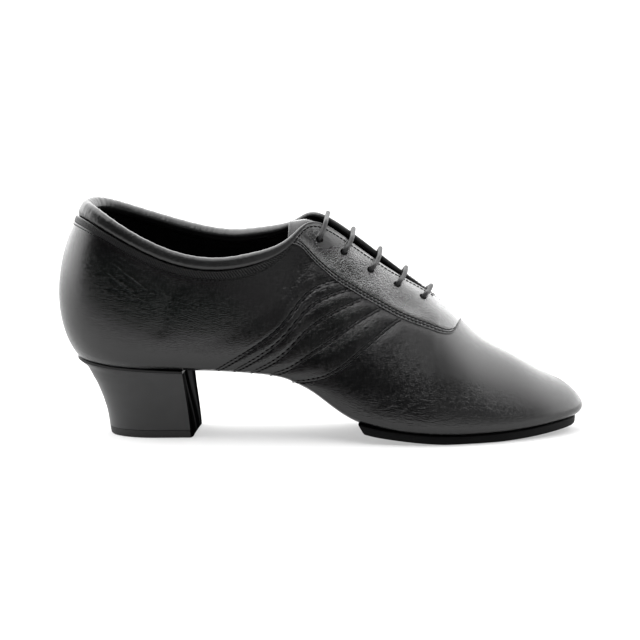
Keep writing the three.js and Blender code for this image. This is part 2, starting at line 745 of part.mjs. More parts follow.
// A round cord along points, its rings carried along without a twist
function cordSolid(points, diameter, sides) {
  let across = new THREE.Vector3(0, 0, 1);
  const rings = points.map((point, i) => {
    const ahead = points[Math.min(i + 1, points.length - 1)];
    const behind = points[Math.max(i - 1, 0)];
    const along = ahead.clone().sub(behind).normalize();
    across = across.clone().addScaledVector(along, -across.dot(along)).normalize();
    const other = along.clone().cross(across);
    return Array.from({ length: sides }, (_, k) => {
      const angle = (2 * Math.PI * k) / sides;
      return point.clone()
        .addScaledVector(across, (Math.cos(angle) * diameter) / 2)
        .addScaledVector(other, (Math.sin(angle) * diameter) / 2);
    });
  });
  return loft(rings);
}

// Finishes
const blackLeather = new THREE.MeshStandardMaterial({ color: 0x17171a, roughness: 0.38 });
const liningLeather = new THREE.MeshStandardMaterial({ color: 0x1c1c1f, roughness: 0.3 });
const insoleLeather = new THREE.MeshStandardMaterial({ color: 0x26262a, roughness: 0.7 });
const soleSuede = new THREE.MeshStandardMaterial({ color: 0x121214, roughness: 0.9 });
const heelLacquer = new THREE.MeshStandardMaterial({ color: 0x1f1f22, roughness: 0.3 });
const blackRubber = new THREE.MeshStandardMaterial({ color: 0x0f0f10, roughness: 0.8 });
const waxedCord = new THREE.MeshStandardMaterial({ color: 0x131315, roughness: 0.55 });

function piece(name, geometry, material) {
  const mesh = new THREE.Mesh(geometry, material);
  mesh.name = name;
  return mesh;
}

const shoe = new THREE.Group();
shoe.add(
  piece("upper", upperGeometry(), blackLeather),
  piece("sole_pad", toGeometry(solePad()), soleSuede),
  piece("tongue", toGeometry(tongueSolid()), blackLeather),
  piece("insole", toGeometry(insolePlate()), insoleLeather),
  piece("collar_roll", toGeometry(collarRoll()), liningLeather),
  piece("heel_rand", toGeometry(heelRand()), soleSuede),
  piece("heel_block", toGeometry(heelBlock()), heelLacquer),
  piece("heel_lift", toGeometry(topLift()), blackRubber),
  piece("lace", toGeometry(laceSolid()), waxedCord),
);

// The heel's middle stands over the origin.
const heelMiddle = 0.175 * shoeLength;
shoe.position.x = -heelMiddle;

const part = new THREE.Group();
part.add(shoe);

export default part;
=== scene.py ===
"""Dresses a man's black lace-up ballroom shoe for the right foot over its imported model.

Lengths are in millimetres from the heel's back until a mesh is written, which is in metres
in the part's own frame: +X to the toe, +Y to the inner side, +Z up.
"""

import logging
import math
from dataclasses import dataclass, field
from enum import Enum
from typing import Callable, NamedTuple, Sequence

import bpy
import numpy as np
from mathutils import Matrix, Vector


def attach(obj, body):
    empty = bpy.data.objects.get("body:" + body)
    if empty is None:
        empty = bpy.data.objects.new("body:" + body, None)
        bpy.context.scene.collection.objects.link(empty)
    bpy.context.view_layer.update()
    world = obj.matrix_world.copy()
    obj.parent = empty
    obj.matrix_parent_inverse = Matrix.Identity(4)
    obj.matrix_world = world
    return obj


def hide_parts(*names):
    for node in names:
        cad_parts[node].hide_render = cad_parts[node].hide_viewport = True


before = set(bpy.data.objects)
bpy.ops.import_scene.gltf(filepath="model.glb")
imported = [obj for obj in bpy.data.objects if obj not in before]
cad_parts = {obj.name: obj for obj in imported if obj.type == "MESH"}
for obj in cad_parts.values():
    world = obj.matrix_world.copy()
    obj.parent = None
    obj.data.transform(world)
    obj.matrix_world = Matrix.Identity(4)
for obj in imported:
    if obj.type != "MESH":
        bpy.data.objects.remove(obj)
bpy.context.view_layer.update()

Array = np.ndarray
Object = bpy.types.Object
Socket = bpy.types.NodeSocket
Node = bpy.types.Node
Tree = bpy.types.NodeTree
Pairs = tuple[tuple[float, float], ...]

log = logging.getLogger("ballroom_shoe")
MM = 0.001
MERGE_DISTANCE = 1e-6


class Side(Enum):
    """The shoe's two sides."""

    OUTER = "outer"
    INNER = "inner"

    @property
    def sign(self) -> int:
        """The side's direction along Y."""
        return -1 if self is Side.OUTER else 1


class Rib(NamedTuple):
    """One rib of the last: its feather edge, swell, top edge and the wall's way into that, in shares."""

    foot_at: float
    foot_outer: float
    foot_inner: float
    pitch: float
    spring: float
    side_outer: float
    side_inner: float
    side_up: float
    top_at: float
    top_outer: float
    top_inner: float
    rise_outer: float
    rise_inner: float
    ahead: float
    lean_outer: float
    lean_inner: float
    drop: float


RIBS = (
    Rib(0.029, 0, 0, 1.17, 0, 0.15, 0.15, 0.2,
        0.035, 0, 0, 0.845, 0.845, -0.05, 0, 0, 0.285),
    Rib(0.047, 0.15, 0.15, 1.13, 0, 0.13, 0.13, 0.17,
        0.054, 0.165, 0.165, 0.847, 0.86, -0.026, 0.068, 0.068, 0.29),
    Rib(0.109, 0.253, 0.25, 1.055, 0, 0.115, 0.115, 0.1,
        0.109, 0.277, 0.266, 0.793, 0.85, -0.007, 0.055, 0.055, 0.27),
    Rib(0.21, 0.284, 0.276, 1, 0, 0.106, 0.106, 0.07,
        0.21, 0.305, 0.288, 0.655, 0.775, 0, 0.038, 0.042, 0.225),
    Rib(0.326, 0.284, 0.262, 0.963, 0, 0.1, 0.11, 0.05,
        0.319, 0.31, 0.284, 0.61, 0.722, 0, 0.038, 0.048, 0.2),
    Rib(0.42, 0.305, 0.245, 0.9, 0, 0.1, 0.13, 0.045,
        0.411, 0.257, 0.222, 0.69, 0.786, 0, 0.055, 0.075, 0.215),
    Rib(0.462, 0.326, 0.242, 0.79, 0, 0.1, 0.13, 0.04,
        0.46, 0.168, 0.142, 0.846, 0.91, 0, 0.1, 0.105, 0.2),
    Rib(0.503, 0.353, 0.252, 0.6, 0, 0.105, 0.125, 0.035,
        0.499, 0.082, 0.076, 0.992, 1.03, 0, 0.145, 0.14, 0.19),
    Rib(0.569, 0.41, 0.3, 0.235, 0, 0.125, 0.125, 0.035,
        0.574, 0.058, 0.054, 0.979, 1.022, 0, 0.19, 0.18, 0.115),
    Rib(0.645, 0.457, 0.372, 0.082, 0, 0.155, 0.14, 0.04,
        0.655, 0.03, 0.034, 0.858, 0.886, 0, 0.23, 0.225, 0.06),
    Rib(0.733, 0.468, 0.425, 0.012, 0, 0.175, 0.17, 0.045,
        0.732, -0.006, 0.012, 0.73, 0.73, 0, 0.27, 0.28, 0.022),
    Rib(0.819, 0.404, 0.394, 0, 0, 0.16, 0.155, 0.045,
        0.805, -0.018, 0.018, 0.533, 0.533, 0, 0.255, 0.255, 0.006),
    Rib(0.891, 0.3, 0.322, 0, 0.22, 0.138, 0.13, 0.045,
        0.873, -0.033, 0.033, 0.4, 0.4, 0, 0.215, 0.21, 0),
    Rib(0.953, 0.158, 0.25, 0, 0.7, 0.112, 0.105, 0.04,
        0.922, -0.045, 0.045, 0.294, 0.294, 0.02, 0.16, 0.155, 0),
    Rib(0.989, -0.053, 0.053, 0, 1, 0.104, 0.104, 0.03,
        0.962, -0.053, 0.053, 0.22, 0.22, 0.042, 0, 0, 0),
)
TIP_RIB = len(RIBS) - 1
RIB_COUNT = 2 * TIP_RIB


def smooth_step(low: float, high: float, value: Array) -> Array:
    """A soft step from 0 at low to 1 at high."""
    share = np.clip((np.asarray(value, float) - low) / (high - low), 0.0, 1.0)
    return share * share * (3 - 2 * share)


def blend(start: Array, end: Array, share: Array) -> Array:
    """Goes from start to end by a share, or by a column of shares."""
    return start + (end - start) * share


def unit(vectors: Array) -> Array:
    """The vectors at length 1."""
    return vectors / np.linalg.norm(vectors, axis=-1, keepdims=True)


def closed_spline(points: Array) -> Callable[[Array], Array]:
    """A smooth closed cubic curve through points, one whole number apart.

    Args:
        points: the points, one to a row.

    Returns:
        A function from places along the curve to points.
    """
    count = len(points)
    matrix = np.zeros((count, count))
    for i in range(count):
        matrix[i, i] = 4 / 6
        matrix[i, (i + 1) % count] = matrix[i, i - 1] = 1 / 6
    controls = np.linalg.solve(matrix, points)

    def at(place: Array) -> Array:
        """Points at places along the curve."""
        turn = np.mod(np.asarray(place, float), count)
        start = np.floor(turn).astype(int)
        t = turn - start
        weights = ((1 - t) ** 3, 3 * t**3 - 6 * t**2 + 4, 1 + 3 * t + 3 * t**2 - 3 * t**3, t**3)
        near = (controls[(start + count - 1 + k) % count] for k in range(len(weights)))
        return sum((weight / 6)[..., None] * control for weight, control in zip(weights, near))

    return at


def open_spline(points: Array) -> Callable[[Array], Array]:
    """A smooth open curve through points, one whole number apart.

    Args:
        points: the points, one to a row.

    Returns:
        A function from places along the curve to points.
    """
    padded = np.vstack([2 * points[0] - points[1], points, 2 * points[-1] - points[-2]])

    def at(place: Array) -> Array:
        """Points at places along the curve."""
        place = np.clip(np.asarray(place, float), 0, len(points) - 1)
        start = np.minimum(np.floor(place).astype(int), len(points) - 2)
        t = (place - start)[..., None]
        a, b, c, d = (padded[start + k] for k in range(4))
        return b + 0.5 * t * (c - a + t * (2 * a - 5 * b + 4 * c - d + t * (3 * (b - c) + d - a)))

    return at


def lengths_along(points: Array) -> Array:
    """Distance walked to each point of a path."""
    steps = np.linalg.norm(np.diff(points, axis=0), axis=1)
    return np.concatenate([[0.0], np.cumsum(steps)])


def even_path(points: Array, count: int) -> Array:
    """The path again, as a count of points an equal distance apart."""
    walked = lengths_along(points)
    places = np.linspace(0, walked[-1], count)
    return np.stack([np.interp(places, walked, points[:, k]) for k in range(points.shape[1])], 1)


@dataclass(frozen=True)
class Last:
    """The last's surface, worked out from length, ball width, instep, seat and toe spring."""

    length: float = 276.0
    ball_width: float = 94.0
    instep_height: float = 89.0
    seat_height: float = 36.8
    toe_spring: float = 3.4
    sole_thickness: float = 4.6
    throat_rib: float = 10.0
    vamp_slope: float = -0.6
    lasting_margin: float = 11.0
    seat_end_rib: float = 2.4
    arch_start_rib: float = 3.2
    arch_end_rib: float = 8.5
    pad_start_rib: float = 9.3
    heel_middle_share: float = 0.175
    steady_up: float = 0.97

    def __post_init__(self) -> None:
        """Works out the four rings that the ribs run between."""
        object.__setattr__(self, "foot", self._ring(self._foot_point))
        object.__setattr__(self, "swell", self._ring(self._swell_size))
        object.__setattr__(self, "top_ring", self._ring(self._top_point))
        object.__setattr__(self, "lean", self._ring(self._lean_step))

    def _ring(self, point_of: Callable[[Rib, Side], tuple]) -> Callable[[Array], Array]:
        """A closed curve: up the outer side to the toe, and back down the inner one."""
        points = [point_of(rib, Side.OUTER) for rib in RIBS]
        points += [point_of(rib, Side.INNER) for rib in RIBS[-2:0:-1]]
        return closed_spline(np.array(points, float))

    def _foot_height(self, rib: Rib) -> float:
        """Height of the feather edge at a rib."""
        rise = rib.pitch * (self.seat_height - self.sole_thickness)
        return self.sole_thickness + rise + rib.spring * self.toe_spring

    def _foot_point(self, rib: Rib, side: Side) -> tuple:
        """The feather edge at a rib."""
        wide = getattr(rib, f"foot_{side.value}")
        return rib.foot_at * self.length, side.sign * wide * self.ball_width, self._foot_height(rib)

    def _swell_size(self, rib: Rib, side: Side) -> tuple:
        """How far out and up the wall swells just above the feather edge."""
        return getattr(rib, f"side_{side.value}") * self.ball_width, 0.0, rib.side_up * self.instep_height

    def _top_point(self, rib: Rib, side: Side) -> tuple:
        """The upper's top edge at a rib."""
        wide = getattr(rib, f"top_{side.value}")
        rise = getattr(rib, f"rise_{side.value}") * self.instep_height
        return rib.top_at * self.length, side.sign * wide * self.ball_width, self._foot_height(rib) + rise

    def _lean_step(self, rib: Rib, side: Side) -> tuple:
        """The step from the top edge back down to the wall's shoulder."""
        ahead = rib.ahead * self.length
        down = ahead * (self.vamp_slope if rib.top_at > 0.5 else 0.0) - rib.drop * self.instep_height
        return ahead, side.sign * getattr(rib, f"lean_{side.value}") * self.ball_width, down

    def along(self, u: Array) -> Array:
        """The rib's place from the heel to the toe, whichever side it is on."""
        u = np.mod(u, RIB_COUNT)
        return np.minimum(u, RIB_COUNT - u)

    def outward(self, u: Array, reach: float = 0.02) -> Array:
        """Level direction out of the shoe at the feather edge."""
        ahead = self.foot(u + reach) - self.foot(u - reach)
        return unit(np.stack([ahead[..., 1], -ahead[..., 0], np.zeros_like(ahead[..., 0])], -1))

    def top(self, u: Array) -> Array:
        """The upper's top edge. Past the throat both sides meet on the ridge."""
        u = np.asarray(u, float)
        point = self.top_ring(u)
        merged = (self.along(u) >= self.throat_rib)[..., None]
        return np.where(merged, 0.5 * (point + self.top_ring(RIB_COUNT - u)), point)

    def wall(self, u: Array, up: Array) -> Array:
        """Points of the upper's outside, from 0 at the feather edge to 1 at the top."""
        u, up = np.broadcast_arrays(np.asarray(u, float), np.asarray(up, float))
        foot = self.foot(u)
        swell = self.swell(u)
        side = foot + self.outward(u) * swell[..., :1]
        side[..., 2] += swell[..., 2]
        top = self.top(u)
        shoulder = top + self.lean(u)
        t = up[..., None]
        return (1 - t) ** 3 * foot + 3 * (1 - t) ** 2 * t * side + 3 * (1 - t) * t**2 * shoulder + t**3 * top

    def normal(self, u: Array, up: Array, reach: float = 0.02) -> Array:
        """Outward directions of the wall."""
        up = np.minimum(up, self.steady_up)
        ahead = self.wall(u + reach, up) - self.wall(u - reach, up)
        return unit(np.cross(ahead, self.wall(u, up + reach) - self.wall(u, up - reach)))

    def inside(self, u: Array, up: Array, depth: float) -> Array:
        """Points at a depth behind the wall."""
        return self.wall(u, up) - depth * self.normal(u, up)

    def walk_down(self, u: Array, end: float, count: int) -> tuple[Array, Array]:
        """Heights from the top edge down to an end, and the distance walked to each on every rib."""
        ups = np.linspace(1, end, count)
        steps = np.linalg.norm(np.diff(self.wall(u[:, None], ups[None, :]), axis=1), axis=2)
        return ups, np.concatenate([np.zeros((len(u), 1)), np.cumsum(steps, 1)], 1)

    def up_below_top(self, u: Array, distance: float) -> Array:
        """How far up their ribs points lie that are a distance below the top edge."""
        ups, walked = self.walk_down(np.atleast_1d(np.asarray(u, float)), 0.3, 280)
        return np.array([np.interp(distance, row, ups) for row in walked])

    def closed_under(self, u: Array) -> Array:
        """How far a rib is closed underneath: 1 where both sides meet on the centre line."""
        rib = self.along(u)
        opens = smooth_step(self.arch_end_rib, self.pad_start_rib, rib)
        return smooth_step(self.seat_end_rib, self.arch_start_rib, rib) * (1 - opens)

    def bed_height(self, x: Array) -> Array:
        """Height of the feather edge's bed at places along the shoe."""
        ribs = np.linspace(0, TIP_RIB, 1400)
        edge = self.foot(ribs)
        return np.interp(x, edge[:, 0], edge[:, 2])

    def under(self, u: Array, inwards: Array) -> Array:
        """Points of the upper's underside, from 0 at the feather edge to 1 at its inner edge."""
        u, inwards = np.broadcast_arrays(np.asarray(u, float), np.asarray(inwards, float))
        foot = self.foot(u)
        margin = foot - self.outward(u) * self.lasting_margin
        middle = 0.5 * (foot + self.foot(RIB_COUNT - u))
        point = blend(foot, blend(margin, middle, self.closed_under(u)[..., None]), inwards[..., None])
        point[..., 2] = self.bed_height(point[..., 0])
        return point

    def to_model(self, points: Array) -> Array:
        """Shoe millimetres to metres in the part's frame."""
        return (points - np.array([self.heel_middle_share * self.length, 0, 0])) * MM


LAST = Last()


def side_place(rib: Array, side: Side) -> Array:
    """A rib's place round the shoe on one of its sides."""
    return rib if side is Side.OUTER else RIB_COUNT - np.asarray(rib, float)


def deselect() -> None:
    """Clears the selection, which holds the frame's nodes after loading."""
    bpy.ops.object.select_all(action="DESELECT")


def make_active(obj: Object) -> None:
    """Selects one object alone and makes it the active one."""
    deselect()
    obj.select_set(True)
    bpy.context.view_layer.objects.active = obj


def read_points(mesh: bpy.types.Mesh) -> Array:
    """A mesh's points, one to a row."""
    flat = np.zeros(len(mesh.vertices) * 3)
    mesh.vertices.foreach_get("co", flat)
    return flat.reshape(-1, 3)


def write_points(mesh: bpy.types.Mesh, points: Array) -> None:
    """Moves a mesh's points, given in metres."""
    mesh.vertices.foreach_set("co", np.ascontiguousarray(points, float).ravel())
    mesh.update()


def write_uv(obj: Object, values: Array, name: str = "UVMap") -> None:
    """Writes a UV map from a pair of values for each point."""
    mesh = obj.data
    layer = mesh.uv_layers.get(name) or mesh.uv_layers.new(name=name)
    corners = np.zeros(len(mesh.loops), int)
    mesh.loops.foreach_get("vertex_index", corners)
    layer.data.foreach_set("uv", np.ascontiguousarray(values[corners], float).ravel())


def scale_uv(obj: Object, scale: tuple[float, float]) -> None:
    """Stretches a piece's UV map."""
    layer = obj.data.uv_layers["UVMap"]
    flat = np.zeros(len(obj.data.loops) * 2)
    layer.data.foreach_get("uv", flat)
    layer.data.foreach_set("uv", (flat.reshape(-1, 2) * scale).ravel())


def read_faces(obj: Object, what: str) -> Array:
    """A vector of each face, such as its centre or normal."""
    flat = np.zeros(len(obj.data.polygons) * 3)
    obj.data.polygons.foreach_get(what, flat)
    return flat.reshape(-1, 3)


def write_attribute(obj: Object, name: str, values: Array) -> None:
    """Writes a vector attribute with one row for each point."""
    layer = obj.data.attributes.new(name=name, type="FLOAT_VECTOR", domain="POINT")
    layer.data.foreach_set("vector", np.ascontiguousarray(values, float).ravel())


def apply_modifier(obj: Object, kind: str, **settings: object) -> None:
    """Adds a modifier with its settings and applies it."""
    make_active(obj)
    modifier = obj.modifiers.new(kind.title(), kind)
    for key, value in settings.items():
        setattr(modifier, key, value)
    bpy.ops.object.modifier_apply(modifier=modifier.name)


def edit(obj: Object, *steps: Callable[[], object]) -> None:
    """Runs edit-mode steps on all of an object's mesh."""
    make_active(obj)
    bpy.ops.object.mode_set(mode="EDIT")
    bpy.ops.mesh.select_all(action="SELECT")
    for step in steps:
        step()
    bpy.ops.object.mode_set(mode="OBJECT")


def merge_step() -> None:
    """Joins points that lie on each other."""
    bpy.ops.mesh.remove_doubles(threshold=MERGE_DISTANCE)


def fill_step() -> None:
    """Closes every open edge loop with a face."""
    bpy.ops.mesh.fill_holes(sides=0)


def outward_step() -> None:
    """Turns every face outwards."""
    bpy.ops.mesh.normals_make_consistent(inside=False)


def smooth(obj: Object, angle: float = 40.0) -> None:
    """Shades an object smooth, with edges over an angle in degrees left sharp."""
    make_active(obj)
    bpy.ops.object.shade_smooth_by_angle(angle=math.radians(angle))


def add_sheet(name: str, columns: int, rows: int, place: Callable[[Array, Array], Array]) -> Object:
    """Adds a grid and lays its points on a surface.

    Args:
        name: the piece's name.
        columns: faces along the first way.
        rows: faces along the second way.
        place: takes the column and row numbers of all points and gives shoe points.

    Returns:
        The sheet, its faces turned to the first way crossed with the second.
    """
    deselect()
    bpy.ops.mesh.primitive_grid_add(x_subdivisions=columns, y_subdivisions=rows, size=2)
    obj = bpy.context.object
    obj.name = obj.data.name = name
    flat = read_points(obj.data)
    column = np.rint((flat[:, 0] + 1) / 2 * columns).astype(int)
    row = np.rint((flat[:, 1] + 1) / 2 * rows).astype(int)
    write_points(obj.data, LAST.to_model(place(column, row)))
    write_uv(obj, np.stack([column / columns, row / rows], 1))
    return obj


def sheet_numbers(obj: Object, columns: int, rows: int) -> tuple[Array, Array]:
    """The column and row number of each point of a sheet, from its UV map."""
    corners = np.zeros(len(obj.data.loops), int)
    obj.data.loops.foreach_get("vertex_index", corners)
    flat = np.zeros(len(corners) * 2)
    obj.data.uv_layers["UVMap"].data.foreach_get("uv", flat)
    numbers = np.zeros((len(obj.data.vertices), 2), int)
    numbers[corners] = np.rint(flat.reshape(-1, 2) * (columns, rows)).astype(int)
    return numbers[:, 0], numbers[:, 1]


def add_tube(name: str, rings: Array, uv_scale: tuple[float, float] = (1.0, 1.0)) -> Object:
    """Adds a closed body through rings, its ends filled and its faces outwards.

    Args:
        name: the piece's name.
        rings: shoe points, by ring and by place round the ring.
        uv_scale: what the UV map runs to along the body and round it.

    Returns:
        The body.
    """
    count, around = rings.shape[:2]
    obj = add_sheet(name, count - 1, around, lambda i, k: rings[i, k % around])
    scale_uv(obj, uv_scale)
    edit(obj, merge_step, fill_step, outward_step)
    smooth(obj)
    return obj


class Graph:
    """Adds and joins nodes in one node tree."""

    def __init__(self, tree: Tree) -> None:
        """Starts with a tree's nodes cleared."""
        self.tree = tree
        tree.nodes.clear()

    def node(self, kind: str, inputs: dict | None = None, **settings: object) -> Node:
        """Adds a node.

        Args:
            kind: the node's type, without its ShaderNode prefix.
            inputs: sockets or values for its inputs, by name or number.
            **settings: the node's own settings.

        Returns:
            The node.
        """
        prefix = "" if kind.startswith("Node") else "ShaderNode"
        node = self.tree.nodes.new(prefix + kind)
        for key, value in settings.items():
            setattr(node, key, value)
        for key, value in (inputs or {}).items():
            if isinstance(value, Socket):
                self.tree.links.new(value, node.inputs[key])
            else:
                node.inputs[key].default_value = value
        return node

    def math(self, operation: str, *values: float | Socket, clamp: bool = False) -> Socket:
        """A Math node's value."""
        return self.node("Math", dict(enumerate(values)), operation=operation, use_clamp=clamp).outputs[0]

    def plus(self, value: Socket, more: Socket, share: float) -> Socket:
        """A value with a share of another added."""
        return self.math("ADD", value, self.math("MULTIPLY", more, share))

    def vector(self, operation: str, *values: Socket) -> Node:
        """A Vector Math node."""
        return self.node("VectorMath", dict(enumerate(values)), operation=operation)

    def own_uv(self) -> tuple[Socket, Socket]:
        """The piece's own UV map, along and across."""
        parts = self.node("SeparateXYZ", {0: self.node("TexCoord").outputs["UV"]})
        return parts.outputs[0], parts.outputs[1]

    def ramp(
        self, value: Socket, low: float, high: float, to_low: float = 0.0, to_high: float = 1.0
    ) -> Socket:
        """A soft step of a value from one range to another."""
        inputs = {"Value": value, "From Min": low, "From Max": high, "To Min": to_low, "To Max": to_high}
        return self.node("MapRange", inputs, interpolation_type="SMOOTHSTEP").outputs[0]

    def noise(self, vector: Socket, scale: float, detail: float = 2.0, **inputs: float) -> Socket:
        """A noise texture's value."""
        values = {"Vector": vector, "Scale": scale, "Detail": detail, **inputs}
        return self.node("TexNoise", values).outputs["Fac"]

    def stretch(self, vector: Socket, scale: Sequence[float], turn: Sequence[float] = (0, 0, 0)) -> Socket:
        """A vector turned and stretched by a Mapping node."""
        values = {"Vector": vector, "Scale": tuple(scale), "Rotation": tuple(turn)}
        return self.node("Mapping", values).outputs[0]


class SocketKind(Enum):
    """Kinds of a node group's sockets."""

    VALUE = "NodeSocketFloat"
    VECTOR = "NodeSocketVector"


def new_group(name: str, takes: dict[str, SocketKind], gives: Sequence[str]) -> tuple[Graph, Node, Node]:
    """Starts a shader node group.

    Args:
        name: the group's name.
        takes: its inputs and their kinds.
        gives: its value outputs.

    Returns:
        The group's graph, its input node and its output node.
    """
    tree = bpy.data.node_groups.new(name, "ShaderNodeTree")
    for key, kind in takes.items():
        tree.interface.new_socket(key, in_out="INPUT", socket_type=kind.value)
    for key in gives:
        tree.interface.new_socket(key, in_out="OUTPUT", socket_type=SocketKind.VALUE.value)
    graph = Graph(tree)
    return graph, graph.node("NodeGroupInput"), graph.node("NodeGroupOutput")


class Effects:
    """The shader node groups that several finishes share, each built once."""

    _built: dict[str, Tree] = {}

    @classmethod
    def use(cls, graph: Graph, name: str, **inputs: float | Socket | tuple) -> Node:
        """Places a group in a material.

        Args:
            graph: the material's graph.
            name: the effect's name, which is also its builder's.
            **inputs: sockets or values, by input name in lower case.

        Returns:
            The group's node.
        """
        if name not in cls._built:
            cls._built[name] = getattr(cls, f"_build_{name}")()
        node = graph.node("Group", node_tree=cls._built[name])
        for key, value in inputs.items():
            socket = node.inputs[key.replace("_", " ").capitalize()]
            if isinstance(value, Socket):
                graph.tree.links.new(value, socket)
            else:
                socket.default_value = value
        return node

    @staticmethod
    def _build_grain() -> Tree:
        """Leather grain: small pebbles with fine lines between them, and pores."""
        takes = {"Vector": SocketKind.VECTOR, "Density": SocketKind.VALUE}
        graph, into, out = new_group("leather_grain", takes, ("Height", "Tone"))
        vector, density = into.outputs["Vector"], into.outputs["Density"]
        wander = graph.node("TexNoise", {"Vector": vector, "Scale": 260.0, "Detail": 1.0}).outputs["Color"]
        shift = graph.node("VectorMath", {0: wander, "Scale": 0.0011}, operation="SCALE").outputs[0]
        bent = graph.vector("ADD", vector, shift).outputs[0]
        cells = graph.node("TexVoronoi", {"Vector": bent, "Scale": density}, feature="DISTANCE_TO_EDGE")
        pebbles = graph.ramp(cells.outputs["Distance"], 0.0, 0.28)
        fine = graph.noise(vector, 2600.0, 2.0)
        height = graph.plus(pebbles, fine, 0.45)
        graph.tree.links.new(height, out.inputs["Height"])
        graph.tree.links.new(graph.noise(vector, 90.0, 4.0), out.inputs["Tone"])
        return graph.tree

    @staticmethod
    def _build_creases() -> Tree:
        """Fine soft creases that run along the vector's X."""
        takes = {"Vector": SocketKind.VECTOR, "Gap": SocketKind.VALUE, "Length": SocketKind.VALUE}
        graph, into, out = new_group("leather_creases", takes, ("Height",))
        across = graph.math("DIVIDE", 1.0, into.outputs["Gap"])
        along = graph.math("DIVIDE", 1.0, into.outputs["Length"])
        scale = graph.node("CombineXYZ", {"X": along, "Y": across, "Z": across}).outputs[0]
        vector = graph.vector("MULTIPLY", into.outputs["Vector"], scale).outputs[0]
        field_value = graph.noise(vector, 1.0, 2.5, Roughness=0.55, Distortion=0.35)
        valley = graph.math("ABSOLUTE", graph.math("SUBTRACT", field_value, 0.5))
        graph.tree.links.new(graph.ramp(valley, 0.0, 0.2), out.inputs["Height"])
        return graph.tree

    @staticmethod
    def _build_patch() -> Tree:
        """A soft round patch: 1 at its centre, 0 at its reach."""
        takes = {"Vector": SocketKind.VECTOR, "Centre": SocketKind.VECTOR, "Reach": SocketKind.VECTOR}
        graph, into, out = new_group("soft_patch", takes, ("Mask",))
        gap = graph.vector("SUBTRACT", into.outputs["Vector"], into.outputs["Centre"])
        share = graph.vector("DIVIDE", gap.outputs[0], into.outputs["Reach"])
        length = graph.vector("LENGTH", share.outputs[0]).outputs["Value"]
        graph.tree.links.new(graph.ramp(length, 0.35, 1.0, 1.0, 0.0), out.inputs["Mask"])
        return graph.tree

    @staticmethod
    def _build_seam() -> Tree:
        """Two sewn rows beside a seam, by distance across it and along it in metres: their relief, and a
        mask of painted shade in their grooves and holes.
        """
        takes = {key: SocketKind.VALUE for key in ("Across", "Along", "Row", "Pitch", "Pucker")}
        graph, into, out = new_group("sewn_seam", takes, ("Height", "Painted shade"))
        across, along, row, pitch, strength = (into.outputs[key] for key in takes)
        away = graph.math("ABSOLUTE", graph.math("SUBTRACT", graph.math("ABSOLUTE", across), row))
        turn = graph.math("MULTIPLY", graph.math("DIVIDE", along, pitch), 2 * math.pi)
        holes = graph.ramp(graph.math("SINE", turn), -0.6, 0.6, 0.45, 1.0)
        groove = graph.math("MULTIPLY", graph.ramp(away, 0.0002, 0.0005, 1.0, 0.0), holes)
        ruffled = {"X": graph.math("MULTIPLY", along, 620.0), "Y": graph.math("MULTIPLY", across, 210.0)}
        ruffle = graph.noise(graph.node("CombineXYZ", ruffled).outputs[0], 1.0, 1.5)
        near = graph.ramp(away, 0.0003, 0.0034, 1.0, 0.0)
        pucker = graph.math("MULTIPLY", graph.math("MULTIPLY", ruffle, near), strength)
        graph.tree.links.new(graph.math("SUBTRACT", pucker, groove), out.inputs["Height"])
        # The groove mask, lowered in the relief above, is also given out as painted shade for the stitch
        # holes.
        graph.tree.links.new(groove, out.inputs["Painted shade"])
        return graph.tree

    @staticmethod
    def _build_smudge() -> Tree:
        """Soft patches of handling and wax, for the shine."""
        graph, into, out = new_group("handled_shine", {"Vector": SocketKind.VECTOR}, ("Value",))
        broad = graph.noise(into.outputs["Vector"], 24.0, 3.0)
        small = graph.noise(into.outputs["Vector"], 120.0, 1.0)
        mixed = graph.math("ADD", graph.math("MULTIPLY", broad, 0.75), graph.math("MULTIPLY", small, 0.25))
        graph.tree.links.new(graph.ramp(mixed, 0.2, 0.8), out.inputs["Value"])
        return graph.tree


class Look(NamedTuple):
    """What a finish changes over its surface, each from 0 to 1: relief, tone, roughness, and a mask of
    painted shade in stitch holes and rib gaps.
    """

    height: Socket
    tone: Socket
    gloss: Socket
    pit_shade: Socket | None = None


